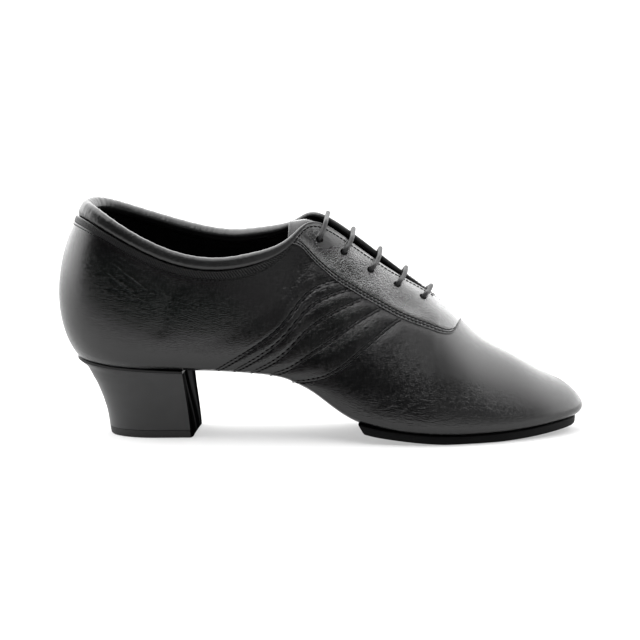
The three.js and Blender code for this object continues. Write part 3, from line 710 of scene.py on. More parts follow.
@dataclass(frozen=True)
class Finish:
    """A finish: a Principled surface with its colour, shine and small relief from node groups."""

    name: str
    slot: str
    dark: tuple[float, float, float] = (0.001, 0.001, 0.0011)
    light: tuple[float, float, float] = (0.004, 0.004, 0.0042)
    shine: tuple[float, float] = (0.15, 0.24)
    specular: float = 0.5
    coat: float = 0.0
    coat_roughness: float = 0.25
    sheen: float = 0.0
    relief: float = 0.00005

    def material(self) -> bpy.types.Material:
        """Builds the material once and gives it."""
        found = bpy.data.materials.get(self.name)
        if found:
            return found
        material = bpy.data.materials.new(self.name)
        material.use_nodes = True
        graph = Graph(material.node_tree)
        place = graph.node("TexCoord").outputs["Object"]
        look = self.surface(graph, place)
        colours = {0: look.tone, 6: (*self.dark, 1), 7: (*self.light, 1)}
        colour = graph.node("Mix", colours, data_type="RGBA")
        bump = graph.node("Bump", {"Height": look.height, "Strength": 1.0, "Distance": self.relief})
        spread = graph.math("MULTIPLY", look.gloss, self.shine[1] - self.shine[0])
        shader = graph.node("BsdfPrincipled", {
            "Base Color": colour.outputs[2],
            "Roughness": graph.math("ADD", spread, self.shine[0], clamp=True),
            "Specular IOR Level": self.specular,
            "Coat Weight": self.coat,
            "Coat Roughness": self.coat_roughness,
            "Sheen Weight": self.sheen,
            "Normal": bump.outputs[0],
        })
        # Painted shade: where a finish gives a shade mask, it turns the surface metallic over its near-black
        # base, which takes the sheen out of those hollows.
        if look.pit_shade:
            graph.tree.links.new(look.pit_shade, shader.inputs["Metallic"])
        end = graph.node("OutputMaterial")
        graph.tree.links.new(shader.outputs[0], end.inputs["Surface"])
        material.diffuse_color = (*self.light, 1)
        return material

    def surface(self, graph: Graph, place: Socket) -> Look:
        """The finish's relief, tone and shine, each from 0 to 1."""
        grain = Effects.use(graph, "grain", vector=place, density=1500.0)
        smudge = Effects.use(graph, "smudge", vector=place)
        return Look(grain.outputs["Height"], grain.outputs["Tone"], smudge.outputs["Value"])


@dataclass(frozen=True)
class CreasePatch:
    """A place on the leather with creases: centre and reach in shoe millimetres, turn in degrees."""

    centre: tuple[float, float, float]
    reach: tuple[float, float, float]
    gap: float
    length: float
    turn: float
    depth: float


@dataclass(frozen=True)
class ShoeLeather(Finish):
    """Smooth black nappa with grain, creased patches and, on the quarters, pulled-in seams whose sewn
    grooves carry painted shade.
    """

    grain_size: float = 0.9
    grain_depth: float = 0.35
    creases: tuple[CreasePatch, ...] = ()
    seam_attribute: str = ""
    last_seam: float = 0.0
    row: float = 0.75
    pitch: float = 2.4
    pucker: float = 1.6
    seam_depth: float = 1.0

    def surface(self, graph: Graph, place: Socket) -> Look:
        """The leather's relief, tone and shine."""
        grain = Effects.use(graph, "grain", vector=place, density=1 / (self.grain_size * MM))
        smudge = Effects.use(graph, "smudge", vector=place)
        height = graph.math("MULTIPLY", grain.outputs["Height"], self.grain_depth)
        for patch in self.creases:
            height = graph.math("ADD", height, self._creased(graph, place, patch))
        if not self.seam_attribute:
            return Look(height, grain.outputs["Tone"], smudge.outputs["Value"])
        seam = self._seam(graph)
        height = graph.plus(height, seam.outputs["Height"], self.seam_depth)
        # Painted shade: the sewn grooves darken the tone, and they also go metallic over the dark base so
        # that no sheen shows in them.
        pit_shade = seam.outputs["Painted shade"]
        tone = graph.math("SUBTRACT", grain.outputs["Tone"], pit_shade, clamp=True)
        return Look(height, tone, graph.math("ADD", smudge.outputs["Value"], pit_shade), pit_shade)

    def _creased(self, graph: Graph, place: Socket, patch: CreasePatch) -> Socket:
        """The relief of one creased patch."""
        centre = tuple(LAST.to_model(np.array(patch.centre)))
        reach = tuple(size * MM for size in patch.reach)
        mask = Effects.use(graph, "patch", vector=place, centre=centre, reach=reach)
        turned = graph.stretch(place, (1, 1, 1), (0, math.radians(patch.turn), 0))
        sizes = {"gap": patch.gap * MM, "length": patch.length * MM}
        folds = Effects.use(graph, "creases", vector=turned, **sizes)
        lowered = graph.math("SUBTRACT", folds.outputs["Height"], 1.0)
        return graph.math("MULTIPLY", lowered, graph.math("MULTIPLY", mask.outputs["Mask"], patch.depth))

    def _seam(self, graph: Graph) -> Node:
        """The sewn rows, from the sheet's own attribute of along, seam number and metres per number."""
        source = graph.node("Attribute", attribute_name=self.seam_attribute).outputs["Vector"]
        parts = graph.node("SeparateXYZ", {0: source})
        along, number, width = (parts.outputs[k] for k in range(3))
        whole = graph.math("MAXIMUM", graph.math("ROUND", number), 0.0)
        nearest = graph.math("MINIMUM", whole, self.last_seam)
        across = graph.math("MULTIPLY", graph.math("SUBTRACT", number, nearest), width)
        sizes = {"row": self.row * MM, "pitch": self.pitch * MM, "pucker": self.pucker / self.seam_depth}
        return Effects.use(graph, "seam", across=across, along=along, **sizes)


@dataclass(frozen=True)
class PaddedLeather(ShoeLeather):
    """Thin leather drawn over foam: fine wrinkles across the roll, from its UV map in millimetres."""

    wrinkle: float = 2.2
    wrinkle_depth: float = 6.0
    around: float = 0.11

    def surface(self, graph: Graph, place: Socket) -> Look:
        """The leather's relief with its wrinkles."""
        look = super().surface(graph, place)
        along, around = graph.own_uv()
        along = graph.math("DIVIDE", along, self.wrinkle)
        around = graph.math("MULTIPLY", around, self.around)
        vector = graph.node("CombineXYZ", {"X": along, "Y": around}).outputs[0]
        wrinkles = graph.noise(vector, 1.0, 3.0)
        return look._replace(height=graph.plus(look.height, wrinkles, self.wrinkle_depth))


@dataclass(frozen=True)
class RibbedTape(Finish):
    """Twill tape: slanted ribs across it, from its UV map in millimetres."""

    rib: float = 1.5
    slant: float = 0.75

    def surface(self, graph: Graph, place: Socket) -> Look:
        """The tape's ribs, with a little unevenness; their crests are painted lighter and the gaps between
        them carry painted shade.
        """
        slanted = graph.plus(*graph.own_uv(), self.slant)
        wavy = graph.plus(slanted, graph.noise(place, 500.0), 0.6)
        turns = graph.math("SINE", graph.math("MULTIPLY", wavy, 2 * math.pi / self.rib))
        ribs = graph.ramp(turns, -0.8, 0.8)
        rough = graph.noise(place, 1400.0, 2.0)
        height = graph.plus(ribs, rough, 0.5)
        # The tone follows the ribs as painted highlight and shade, and the last mask is painted shade in the
        # gaps between the ribs.
        return Look(height, ribs, graph.noise(place, 300.0), graph.ramp(turns, -0.9, 0.2, 0.65, 0.0))


@dataclass(frozen=True)
class TwistedCord(Finish):
    """Waxed round lace, braided: two sets of strands that cross, from its UV map in millimetres."""

    strand: float = 1.15
    turns: int = 4

    def surface(self, graph: Graph, place: Socket) -> Look:
        """The braid's strands, their tone following their relief: painted highlight on the strands' tops and
        painted shade between them.
        """
        along, around = graph.own_uv()
        along = graph.math("MULTIPLY", along, 2 * math.pi / self.strand)
        around = graph.math("MULTIPLY", around, 2 * math.pi * self.turns)
        one = graph.math("SINE", graph.math("ADD", along, around))
        other = graph.math("SINE", graph.math("SUBTRACT", along, around))
        braid = graph.math("MULTIPLY", graph.math("ADD", graph.math("MULTIPLY", one, other), 1.0), 0.5)
        # Painted highlight and shade: the braid's relief is used as its tone as well.
        return Look(braid, braid, graph.noise(place, 700.0))


@dataclass(frozen=True)
class Suede(Finish):
    """Brushed split leather: short nap in patches."""

    def surface(self, graph: Graph, place: Socket) -> Look:
        """The nap."""
        brushed = graph.noise(graph.stretch(place, (400, 900, 900)), 1.0, 4.0)
        nap = graph.noise(place, 3200.0, 2.0)
        return Look(graph.plus(brushed, nap, 0.6), brushed, nap)


@dataclass(frozen=True)
class Moulded(Finish):
    """Moulded or lacquered hard surface with a faint unevenness and, where asked, pale upright streak marks
    of painted reflection.
    """

    ripple: float = 150.0
    reflection_streaks: bool = False

    def surface(self, graph: Graph, place: Socket) -> Look:
        """A faint orange peel over soft ripples."""
        ripples = graph.noise(place, self.ripple, 1.0)
        peel = graph.noise(place, 1100.0, 1.0)
        smudge = Effects.use(graph, "smudge", vector=place)
        height = graph.plus(ripples, peel, 0.25)
        tone = ripples
        # Painted reflection: pale upright streak marks in the base colour stand in for light caught on the
        # hollow breast.
        if self.reflection_streaks:
            tone = graph.ramp(graph.noise(graph.stretch(place, (20, 90, 9)), 1.0, 1.0), 0.5, 0.72)
        return Look(height, tone, smudge.outputs["Value"])


QUARTER_SEAMS = (0.0, 0.21, 0.44, 0.7, 1.0)
STAY_ROWS = (1.0, 2.3)

HEEL_CREASES = CreasePatch((44, -30, 92), (30, 14, 20), 3.0, 30.0, -38.0, 0.8)
BALL_CREASES = CreasePatch((206, -40, 18), (74, 38, 17), 1.4, 7.0, -5.0, 0.65)
QUARTER_CREASES = CreasePatch((132, -28, 80), (24, 14, 18), 2.4, 9.0, 40.0, 1.0)
BAND_CREASES = CreasePatch((158, -30, 62), (34, 18, 24), 1.8, 7.0, 40.0, 0.55)
FACING_CREASES = CreasePatch((168, -18, 84), (44, 22, 26), 1.6, 5.0, 60.0, 1.3)

UPPER_LEATHER = ShoeLeather(
    "black_nappa", "upper_leather", relief=0.00012, seam_attribute="quarter",
    last_seam=float(len(QUARTER_SEAMS) - 1),
    creases=(HEEL_CREASES, BALL_CREASES, QUARTER_CREASES, BAND_CREASES),
)
# Painted highlight: the facing's base is lighter than the quarters' black nappa, brightening it the way
# light on it does.
FACING_LEATHER = ShoeLeather(
    "facing_nappa", "upper_leather", relief=0.00012, shine=(0.2, 0.32), dark=(0.003, 0.003, 0.0032),
    light=(0.012, 0.012, 0.0125), specular=0.95, coat=0.35, grain_size=1.25, grain_depth=0.8,
    seam_attribute="facing", row=0.65, pitch=2.2, pucker=1.0, creases=(FACING_CREASES,),
)
# Painted light: the tongue's base is lighter than the quarters' black nappa, standing in for light on its
# top.
TONGUE_LEATHER = ShoeLeather("tongue_nappa", "upper_leather", relief=0.00008, light=(0.012, 0.012, 0.0125))
ROLL_LEATHER = PaddedLeather(
    "collar_leather", "lining_leather", relief=0.00006, shine=(0.28, 0.38), light=(0.008, 0.008, 0.0083),
)
LINING_LEATHER = ShoeLeather("lining_leather", "lining_leather", shine=(0.34, 0.5), relief=0.00008)
SOCK_LEATHER = ShoeLeather("sock_leather", "insole_leather", shine=(0.5, 0.65), light=(0.015, 0.015, 0.016))
TAPE = RibbedTape(
    "ribbed_tape", "lining_leather", shine=(0.4, 0.55), relief=0.00045, light=(0.01, 0.01, 0.0103),
    specular=0.26,
)
THREAD = Finish("waxed_thread", "lace_cord", shine=(0.6, 0.75), relief=0.00002, specular=0.12)
CORD = TwistedCord("waxed_lace", "lace_cord", shine=(0.5, 0.62), relief=0.00012, light=(0.03, 0.03, 0.031))
SOLE_EDGE = Moulded("sole_edge_ink", "sole_suede", shine=(0.7, 0.85), relief=0.00005, specular=0.12)
SOLE_SUEDE = Suede("sole_suede", "sole_suede", shine=(0.85, 0.95), relief=0.0002, sheen=0.2)
RAND = Moulded("rand_ink", "heel_rand", shine=(0.5, 0.6), specular=0.3)
HEEL_SHELL = Moulded(
    "heel_satin", "heel_shell", shine=(0.42, 0.5), relief=0.00003,
    dark=(0.008, 0.008, 0.0083), light=(0.014, 0.014, 0.0145),
)
# Painted reflection: a paler base with pale upright streak marks, and no specular of its own, stands in for
# light caught on the breast.
HEEL_BREAST = Moulded(
    "heel_breast_painted_sheen", "heel_shell", shine=(0.3, 0.4), relief=0.00003, specular=0.0,
    light=(0.03, 0.03, 0.031), reflection_streaks=True,
)
RUBBER = Moulded("heel_rubber", "heel_rubber", shine=(0.7, 0.85), relief=0.00006, specular=0.06)


def dress(obj: Object, finish: Finish, *more: Finish) -> Object:
    """Gives a piece its finishes and its body."""
    obj.data.materials.clear()
    for each in (finish, *more):
        obj.data.materials.append(each.material())
    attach(obj, "root")
    return obj


def report(obj: Object) -> None:
    """Logs a finished piece."""
    obj.data.calc_loop_triangles()
    log.info("%s: %d triangles", obj.name, len(obj.data.loop_triangles))


@dataclass(frozen=True)
class QuarterBands:
    """Five curved seams on each side, with four puffy bands between them.

    Each outer seam holds its places along the shoe at the feather edge, halfway and at the eyestay.
    """

    rear_seam: tuple[float, float, float] = (83.5, 104.0, 146.2)
    front_seam: tuple[float, float, float] = (120.5, 150.5, 183.3)
    head_up: float = 0.7
    puff: float = 0.8
    shoulder: float = 0.45

    def _seam_x(self, places: tuple[float, float, float], up: Array) -> Array:
        """A seam's place along the shoe at heights up the wall."""
        foot, middle, head = places
        t = np.asarray(up, float) / self.head_up
        return foot + t * (4 * middle - 3 * foot - head) + t * t * (2 * foot - 4 * middle + 2 * head)

    def number(self, x: Array, up: Array) -> Array:
        """The band number of points: a whole number on each seam."""
        rear = self._seam_x(self.rear_seam, up)
        share = (x - rear) / (self._seam_x(self.front_seam, up) - rear)
        last = len(QUARTER_SEAMS) - 1
        return np.interp(share, (-1.2, *QUARTER_SEAMS, 2.2), (-5.0, *range(last + 1), last + 4.5))

    def relief(self, number: Array, up: Array, edge_up: Array) -> Array:
        """How far the leather stands out between the seams."""
        last = len(QUARTER_SEAMS) - 1
        between = (number > 0) & (number < last)
        hump = np.abs(np.sin(math.pi * number)) ** 0.9 * self.puff
        beyond = np.maximum(-number, number - last)
        side = self.shoulder * smooth_step(0, 0.45, beyond) * (1 - smooth_step(0.6, 2.6, beyond))
        fade = smooth_step(0.01, 0.12, up) * (1 - smooth_step(edge_up - 0.04, edge_up + 0.01, up))
        return np.where(between, hump, side) * fade

    def seam_path(
        self, seam: int, side: Side, low_up: float, outline: "EyestayOutline", count: int = 160
    ) -> tuple[Array, Array]:
        """Ribs and heights of points along one seam, from near the feather edge to the eyestay."""
        ups = np.linspace(low_up, 0.75, count)
        ribs = np.linspace(2.8, 10.8, 500)
        share = QUARTER_SEAMS[seam]
        rear, front = self._seam_x(self.rear_seam, ups), self._seam_x(self.front_seam, ups)
        target = blend(rear, front, share)
        x = LAST.wall(side_place(ribs, side)[None, :], ups[:, None])[..., 0]
        rib = np.array([np.interp(target[i], x[i], ribs) for i in range(count)])
        under_eyestay = ups > outline.up_at(rib) - 0.008
        keep = slice(0, int(np.argmax(under_eyestay)) if under_eyestay.any() else count)
        return rib[keep], ups[keep]


@dataclass(frozen=True)
class EyestayOutline:
    """The eyestay's edge on the wall: rib and height up it, from the collar round the throat's end."""

    corners: Pairs = (
        (5.78, 1.0), (6.3, 0.885), (6.9, 0.775), (7.52, 0.722), (8.12, 0.713), (8.66, 0.708), (9.14, 0.698),
        (9.66, 0.698), (10.1, 0.713), (10.36, 0.765), (10.49, 0.87), (10.55, 1.0),
    )

    def path(self, count: int) -> Array:
        """Rib and height of evenly spaced points along the edge."""
        curve = open_spline(np.array(self.corners))(np.linspace(0, len(self.corners) - 1, 900))
        curve[:, 1] = np.minimum(curve[:, 1], 1.0)
        walked = lengths_along(LAST.wall(curve[:, 0], curve[:, 1]))
        places = np.linspace(0, walked[-1], count)
        return np.stack([np.interp(places, walked, curve[:, k]) for k in range(2)], 1)

    def up_at(self, rib: Array) -> Array:
        """Height of the edge at ribs, and above the wall's top where there is no eyestay."""
        ribs, ups = zip(*self.corners)
        return np.interp(rib, ribs, ups, left=2.0, right=2.0)


def rumple(points: Array) -> Array:
    """Soft uneven drape of the leather, about a quarter of a millimetre."""
    x, y, z = np.moveaxis(points, -1, 0)
    waves = ((4.6, 6.8, 0.0, 1.0), (-7.9, 4.3, 1.3, 0.8), (3.1, -5.2, 2.1, 0.5), (10.5, 8.7, 0.7, 0.9))
    total = sum(size * np.sin(x / along + z / up + y / 9 + phase) for along, up, phase, size in waves)
    return total * 0.11


@dataclass
class Stitching:
    """Lock stitches, all of one seam copied from one modelled thread."""

    pitch: float = 2.5
    length: float = 1.9
    thread: float = 0.5
    sunk: float = 0.02

    def _thread(self) -> Object:
        """One stitch, a unit long and a unit thick."""
        deselect()
        turn = (0, math.pi / 2, 0)
        bpy.ops.mesh.primitive_uv_sphere_add(segments=6, ring_count=5, radius=0.5, rotation=turn)
        obj = bpy.context.object
        bpy.ops.object.transform_apply(location=False, rotation=True, scale=False)
        points = read_points(obj.data)
        points[:, 0] = np.sign(points[:, 0]) * np.abs(2 * points[:, 0]) ** 0.6 / 2
        write_points(obj.data, points)
        return obj

    def _places(self, path: Array, out: Array) -> list[Matrix]:
        """Where the stitches of one row lie, how they turn and how big they are."""
        walked = lengths_along(path)
        starts = np.arange(self.pitch / 3, walked[-1] - self.length, self.pitch)
        tables = (path, path, out)
        at = (starts, starts + self.length, starts + self.length / 2)
        begin, end, lift = (
            np.stack([np.interp(where, walked, table[:, k]) for k in range(3)], 1)
            for where, table in zip(at, tables)
        )
        ahead = unit(end - begin)
        beside = unit(np.cross(lift, ahead))
        lift = np.cross(ahead, beside)
        centre = LAST.to_model(0.5 * (begin + end) - lift * self.sunk)
        size = np.array([self.length, self.thread * 1.15, self.thread]) * MM
        turned = np.stack([ahead, beside, lift], 2) * size
        return [
            Matrix.Translation(Vector(place)) @ Matrix(turn.tolist()).to_4x4()
            for place, turn in zip(centre, turned)
        ]

    def sew(self, name: str, rows: Sequence[tuple[Array, Array]]) -> Object:
        """Sews rows of stitches.

        Args:
            name: the piece's name.
            rows: the paths and their outward directions.

        Returns:
            All rows as one piece.
        """
        thread = self._thread()
        deselect()
        for path, out in rows:
            for place in self._places(path, out):
                stitch = bpy.data.objects.new(name, thread.data.copy())
                bpy.context.scene.collection.objects.link(stitch)
                stitch.matrix_world = place
                stitch.select_set(True)
        bpy.data.objects.remove(thread)
        bpy.context.view_layer.objects.active = stitch
        bpy.ops.object.join()
        bpy.ops.object.transform_apply(location=True, rotation=True, scale=True)
        obj = bpy.context.object
        obj.name = obj.data.name = name
        edit(obj, outward_step)
        smooth(obj, 80)
        return dress(obj, THREAD)


@dataclass
class Eyelets:
    """Punched eyelets: their places on both facings."""

    pairs: int = 5
    diameter: float = 4.0
    inset: float = 9.0
    first_rib: float = 7.12
    last_rib: float = 9.6

    def rib(self, pair: int) -> float:
        """The rib of an eyelet pair, counted from the top."""
        return blend(self.first_rib, self.last_rib, pair / (self.pairs - 1))

    def place(self, pair: int, side: Side) -> tuple[float, float]:
        """Place round the shoe and height up the wall of one eyelet."""
        u = float(side_place(self.rib(pair), side))
        return u, float(LAST.up_below_top(u, self.inset)[0])

    def centres(self) -> tuple[Array, Array]:
        """Middles and outward directions of all eyelets."""
        places = np.array([self.place(pair, side) for pair in range(self.pairs) for side in Side])
        return LAST.wall(places[:, 0], places[:, 1]), LAST.normal(places[:, 0], places[:, 1])

    def cutter(self, depth: float = 8.0) -> Object:
        """One body of all the punches."""
        deselect()
        punches = []
        for centre, out in zip(*self.centres()):
            bpy.ops.mesh.primitive_cylinder_add(
                vertices=28, radius=self.diameter / 2 * MM, depth=depth * MM,
                location=LAST.to_model(centre), rotation=Vector(out).to_track_quat("Z", "Y").to_euler())
            punches.append(bpy.context.object)
        for punch in punches:
            punch.select_set(True)
        bpy.ops.object.join()
        bpy.ops.object.transform_apply(location=True, rotation=True, scale=True)
        return bpy.context.object


@dataclass
class Upper:
    """The upper: its shell, the eyestay laid over it, and their stitching."""

    wall: float = 1.8
    quarter_height: float = 82.0
    fold_at: float = 64.0
    fold_slant: float = 26.0
    fold_reach: float = 5.0
    fold_depth: float = 0.35
    worn: tuple[float, float, float, float] = (95, 130, 165, 200)
    step: float = 0.9
    rim: float = 0.7
    eyelets: Eyelets = field(default_factory=Eyelets)
    bands: QuarterBands = field(default_factory=QuarterBands)
    outline: EyestayOutline = field(default_factory=EyestayOutline)
    rib_faces: tuple[int, ...] = (12, 12, 14, 26, 26, 13, 13, 20, 22, 20, 14, 12, 12, 14)
    wall_faces: int = 84
    feather_round: tuple[float, float] = (0.2, 0.1)

    def _places_round(self) -> Array:
        """Places round the shoe of the shell's columns, closer where the quarters have seams."""
        outer = np.concatenate([rib + np.arange(count) / count for rib, count in enumerate(self.rib_faces)])
        return np.concatenate([outer, [TIP_RIB], RIB_COUNT - outer[::-1]])

    def _places_up(self) -> Array:
        """Places of the shell's rows: below 0 under the shoe, and above it up the wall."""
        return np.concatenate([[-1, -0.75, -0.5, -0.3, -0.2, -0.1], np.linspace(0, 1, self.wall_faces + 1)])

    def _skin(self, u: Array, place: Array) -> Array:
        """The shell's outside, its turn under the foot rounded along the arch."""
        under = LAST.under(u, np.clip(-place, 0, 1))
        sharp = np.where((place < 0)[..., None], under, LAST.wall(u, np.clip(place, 0, 1)))
        low, high = self.feather_round
        t = np.clip((place + low) / (low + high), 0, 1)[..., None]
        curve = (1 - t) ** 2 * LAST.under(u, low) + 2 * t * (1 - t) * LAST.foot(u)
        curve = curve + t * t * LAST.wall(u, high)
        near = ((place > -low) & (place < high))[..., None]
        weight = 0.25 + 0.75 * LAST.closed_under(u)[..., None]
        return np.where(near, blend(sharp, curve, weight), sharp)

    def relief(self, u: Array, up: Array, x: Array) -> Array:
        """How far the leather stands out from the last: the puffy bands, and one long soft fold."""
        rib = LAST.along(u)
        puffs = self.bands.relief(self.bands.number(x, up), up, self.outline.up_at(rib))
        beside = (x - self.fold_at + self.fold_slant * (0.75 - up)) / self.fold_reach
        fold = -self.fold_depth * np.exp(-(beside**2)) * smooth_step(0.35, 0.5, up)
        fold = fold * (1 - smooth_step(0.8, 0.93, up)) * (np.mod(u, RIB_COUNT) < TIP_RIB)
        start, full, fading, end = self.worn
        worn = smooth_step(start, full, x) * (1 - smooth_step(fading, end, x)) * smooth_step(0.1, 0.35, up)
        return puffs + fold + rumple(LAST.wall(u, up)) * worn

    def _surface(self, u: Array, up: Array, lift: float = 0.0) -> tuple[Array, Array]:
        """Points and outward directions of the shell's leather at places on the wall."""
        base, out = LAST.wall(u, up), LAST.normal(u, up)
        return base + out * (self.relief(u, up, base[..., 0]) + lift)[..., None], out

    def shell(self) -> Object:
        """The shell, one wall from the arch's centre line to the collar and the vamp's ridge."""
        around, rows = self._places_round(), self._places_up()
        u, place = np.meshgrid(around, rows, indexing="ij")
        points = self._skin(u, place)
        up = np.clip(place, 0, 1)
        number = np.where(place < 0, -9.0, self.bands.number(points[..., 0], up))
        lift = np.where(place > 0, self.relief(u, up, points[..., 0]), 0.0)
        lifted = points + LAST.normal(u, up) * lift[..., None]
        obj = add_sheet("upper_shell", len(around) - 1, len(rows) - 1, lambda i, k: lifted[i, k])
        column, row = sheet_numbers(obj, len(around) - 1, len(rows) - 1)
        height = up * self.quarter_height * MM
        quarter = np.stack([height, number, self._band_width(points, number) * MM], -1)
        write_attribute(obj, "quarter", quarter[column, row])
        self._punch(obj)
        edit(obj, merge_step)
        apply_modifier(obj, "SOLIDIFY", thickness=self.wall * MM, offset=-1, use_even_offset=True,
                       material_offset=1, material_offset_rim=1)
        smooth(obj, 50)
        dress(obj, UPPER_LEATHER, LINING_LEATHER)
        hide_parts("upper")
        return obj

    def _band_width(self, points: Array, number: Array) -> Array:
        """How wide a band is at each point, across its seams."""
        pu, pv = np.gradient(points, axis=0), np.gradient(points, axis=1)
        nu, nv = np.gradient(number, axis=0), np.gradient(number, axis=1)
        uu, vv, uv = ((a * b).sum(-1) for a, b in ((pu, pu), (pv, pv), (pu, pv)))
        slope = (vv * nu**2 - 2 * uv * nu * nv + uu * nv**2) / np.maximum(uu * vv - uv**2, 1e-9)
        return np.clip(1 / np.sqrt(np.maximum(slope, 1e-6)), 1.5, 40)

    def _punch(self, obj: Object, spare: float = 0.9) -> None:
        """Takes the shell's faces away behind the eyestay's eyelets."""
        centres = LAST.to_model(self.eyelets.centres()[0])
        gaps = np.linalg.norm(read_faces(obj, "center")[:, None] - centres, axis=2).min(1)
        make_active(obj)
        bpy.ops.object.mode_set(mode="EDIT")
        bpy.ops.mesh.select_all(action="DESELECT")
        bpy.ops.object.mode_set(mode="OBJECT")
        near = gaps < (self.eyelets.diameter / 2 + spare) * MM
        obj.data.polygons.foreach_set("select", near)
        bpy.ops.object.mode_set(mode="EDIT")
        bpy.ops.mesh.delete(type="FACE")
        bpy.ops.object.mode_set(mode="OBJECT")

    def eyestay(self) -> Object:
        """The eyestay: one piece of leather round the throat, its cut edge rounded, punched for the lace."""
        sides = [self._eyestay_side(side) for side in Side]
        make_active(sides[0])
        sides[1].select_set(True)
        bpy.ops.object.join()
        obj = bpy.context.object
        obj.name = obj.data.name = "eyestay"
        edit(obj, merge_step)
        apply_modifier(obj, "SOLIDIFY", thickness=0.9 * MM, offset=-1, use_even_offset=False)
        cutter = self.eyelets.cutter()
        apply_modifier(obj, "BOOLEAN", object=cutter, operation="DIFFERENCE", solver="EXACT")
        bpy.data.objects.remove(cutter)
        smooth(obj, 40)
        return dress(obj, FACING_LEATHER)

    def _eyestay_side(self, side: Side, columns: int = 230, rows: int = 26) -> Object:
        """One side of the eyestay, from its cut edge up to the throat's edge."""
        path = self.outline.path(columns + 1)
        rib, low = path[:, 0], path[:, 1]
        u = side_place(rib, side)
        reach = np.linalg.norm(LAST.wall(u, 1.0) - LAST.wall(u, 0.5 * (low + 1)), axis=1)
        reach += np.linalg.norm(LAST.wall(u, 0.5 * (low + 1)) - LAST.wall(u, low), axis=1)
        near = np.array([0, 0.1, 0.25, 0.45, 0.7, 0.85, 1.0, 1.15, 1.5, 1.9, 2.15, 2.3, 2.45, 2.8])
        rest = np.linspace(0, 1, rows + 2 - len(near))[1:]
        far = near[-1] + (reach[:, None] - near[-1]) * rest
        gaps = np.concatenate([np.tile(near, (columns + 1, 1)), far], 1)
        gaps = np.minimum(gaps, reach[:, None] * np.linspace(0, 1, rows + 1) ** 0.8)
        gaps[:, -1] = reach
        up = blend(low[:, None], 1.0, gaps / np.maximum(reach[:, None], 1e-6))
        edge = np.clip(gaps / self.rim, 0, 1)
        lift = blend(-0.35, self.step, np.sqrt(1 - (1 - edge) ** 2))
        for row in STAY_ROWS:
            lift -= 0.35 * np.exp(-(((gaps - row) / 0.3) ** 2))
        worn = smooth_step(3.0, 6.5, gaps) * (1 - smooth_step(0.86, 0.98, up))
        lift += rumple(LAST.wall(u[:, None], up)) * worn * 2.2
        out = self._ridge_normal(u[:, None], up)
        points = LAST.wall(u[:, None], up) + out * lift[..., None]
        order = np.arange(columns + 1) if side is Side.OUTER else np.arange(columns, -1, -1)
        obj = add_sheet(f"eyestay_{side.value}", columns, rows, lambda i, k: points[order[i], k])
        along = np.broadcast_to(lengths_along(points[:, 0])[:, None], gaps.shape) * MM
        seam = np.stack([along, (gaps - np.mean(STAY_ROWS)) / 100, np.full_like(gaps, 100 * MM)], -1)
        column, row = sheet_numbers(obj, columns, rows)
        write_attribute(obj, "facing", seam[order[column], row])
        return obj

    def _ridge_normal(self, u: Array, up: Array) -> Array:
        """Outward directions that agree on both sides of the ridge past the throat."""
        out = LAST.normal(u, up)
        twin = LAST.normal(RIB_COUNT - u, up)
        share = smooth_step(0.75, 1.0, up) * smooth_step(9.7, 10.0, LAST.along(u))
        return unit(blend(out, 0.5 * (out + twin), share[..., None]))

    def _eyestay_row(self, side: Side, gap: float) -> tuple[Array, Array]:
        """A stitch row inside the eyestay's edge."""
        path = self.outline.path(300)
        u = side_place(path[:, 0], side)
        base = LAST.wall(u, path[:, 1])
        out = self._ridge_normal(u, path[:, 1])
        beside = unit(np.cross(out, np.gradient(base, axis=0))) * side.sign * -1
        points = base + beside * gap + out * (self.step - 0.2)
        keep = slice(int(gap * 3) + 4, 296)
        return points[keep], out[keep]

    def _seam_rows(self, gap: float = 0.75) -> list[tuple[Array, Array]]:
        """Both stitch rows of every seam on both quarters."""
        rows = []
        for side in Side:
            for seam in range(len(QUARTER_SEAMS)):
                rib, up = self.bands.seam_path(seam, side, 0.05, self.outline)
                points, out = self._surface(side_place(rib, side), up)
                beside = unit(np.cross(out, np.gradient(points, axis=0)))
                rows += [(points + beside * gap * way, out) for way in (-1, 1)]
        return rows

    def stitching(self) -> list[Object]:
        """All the upper's stitches."""
        eyestay_rows = [self._eyestay_row(side, gap) for side in Side for gap in STAY_ROWS]
        return [
            Stitching().sew("quarter_stitches", self._seam_rows()),
            Stitching(pitch=2.2, length=1.7, thread=0.6).sew("eyestay_stitches", eyestay_rows),
        ]

    def build(self) -> list[Object]:
        """Builds the upper."""
        return [self.shell(), self.eyestay(), *self.stitching()]


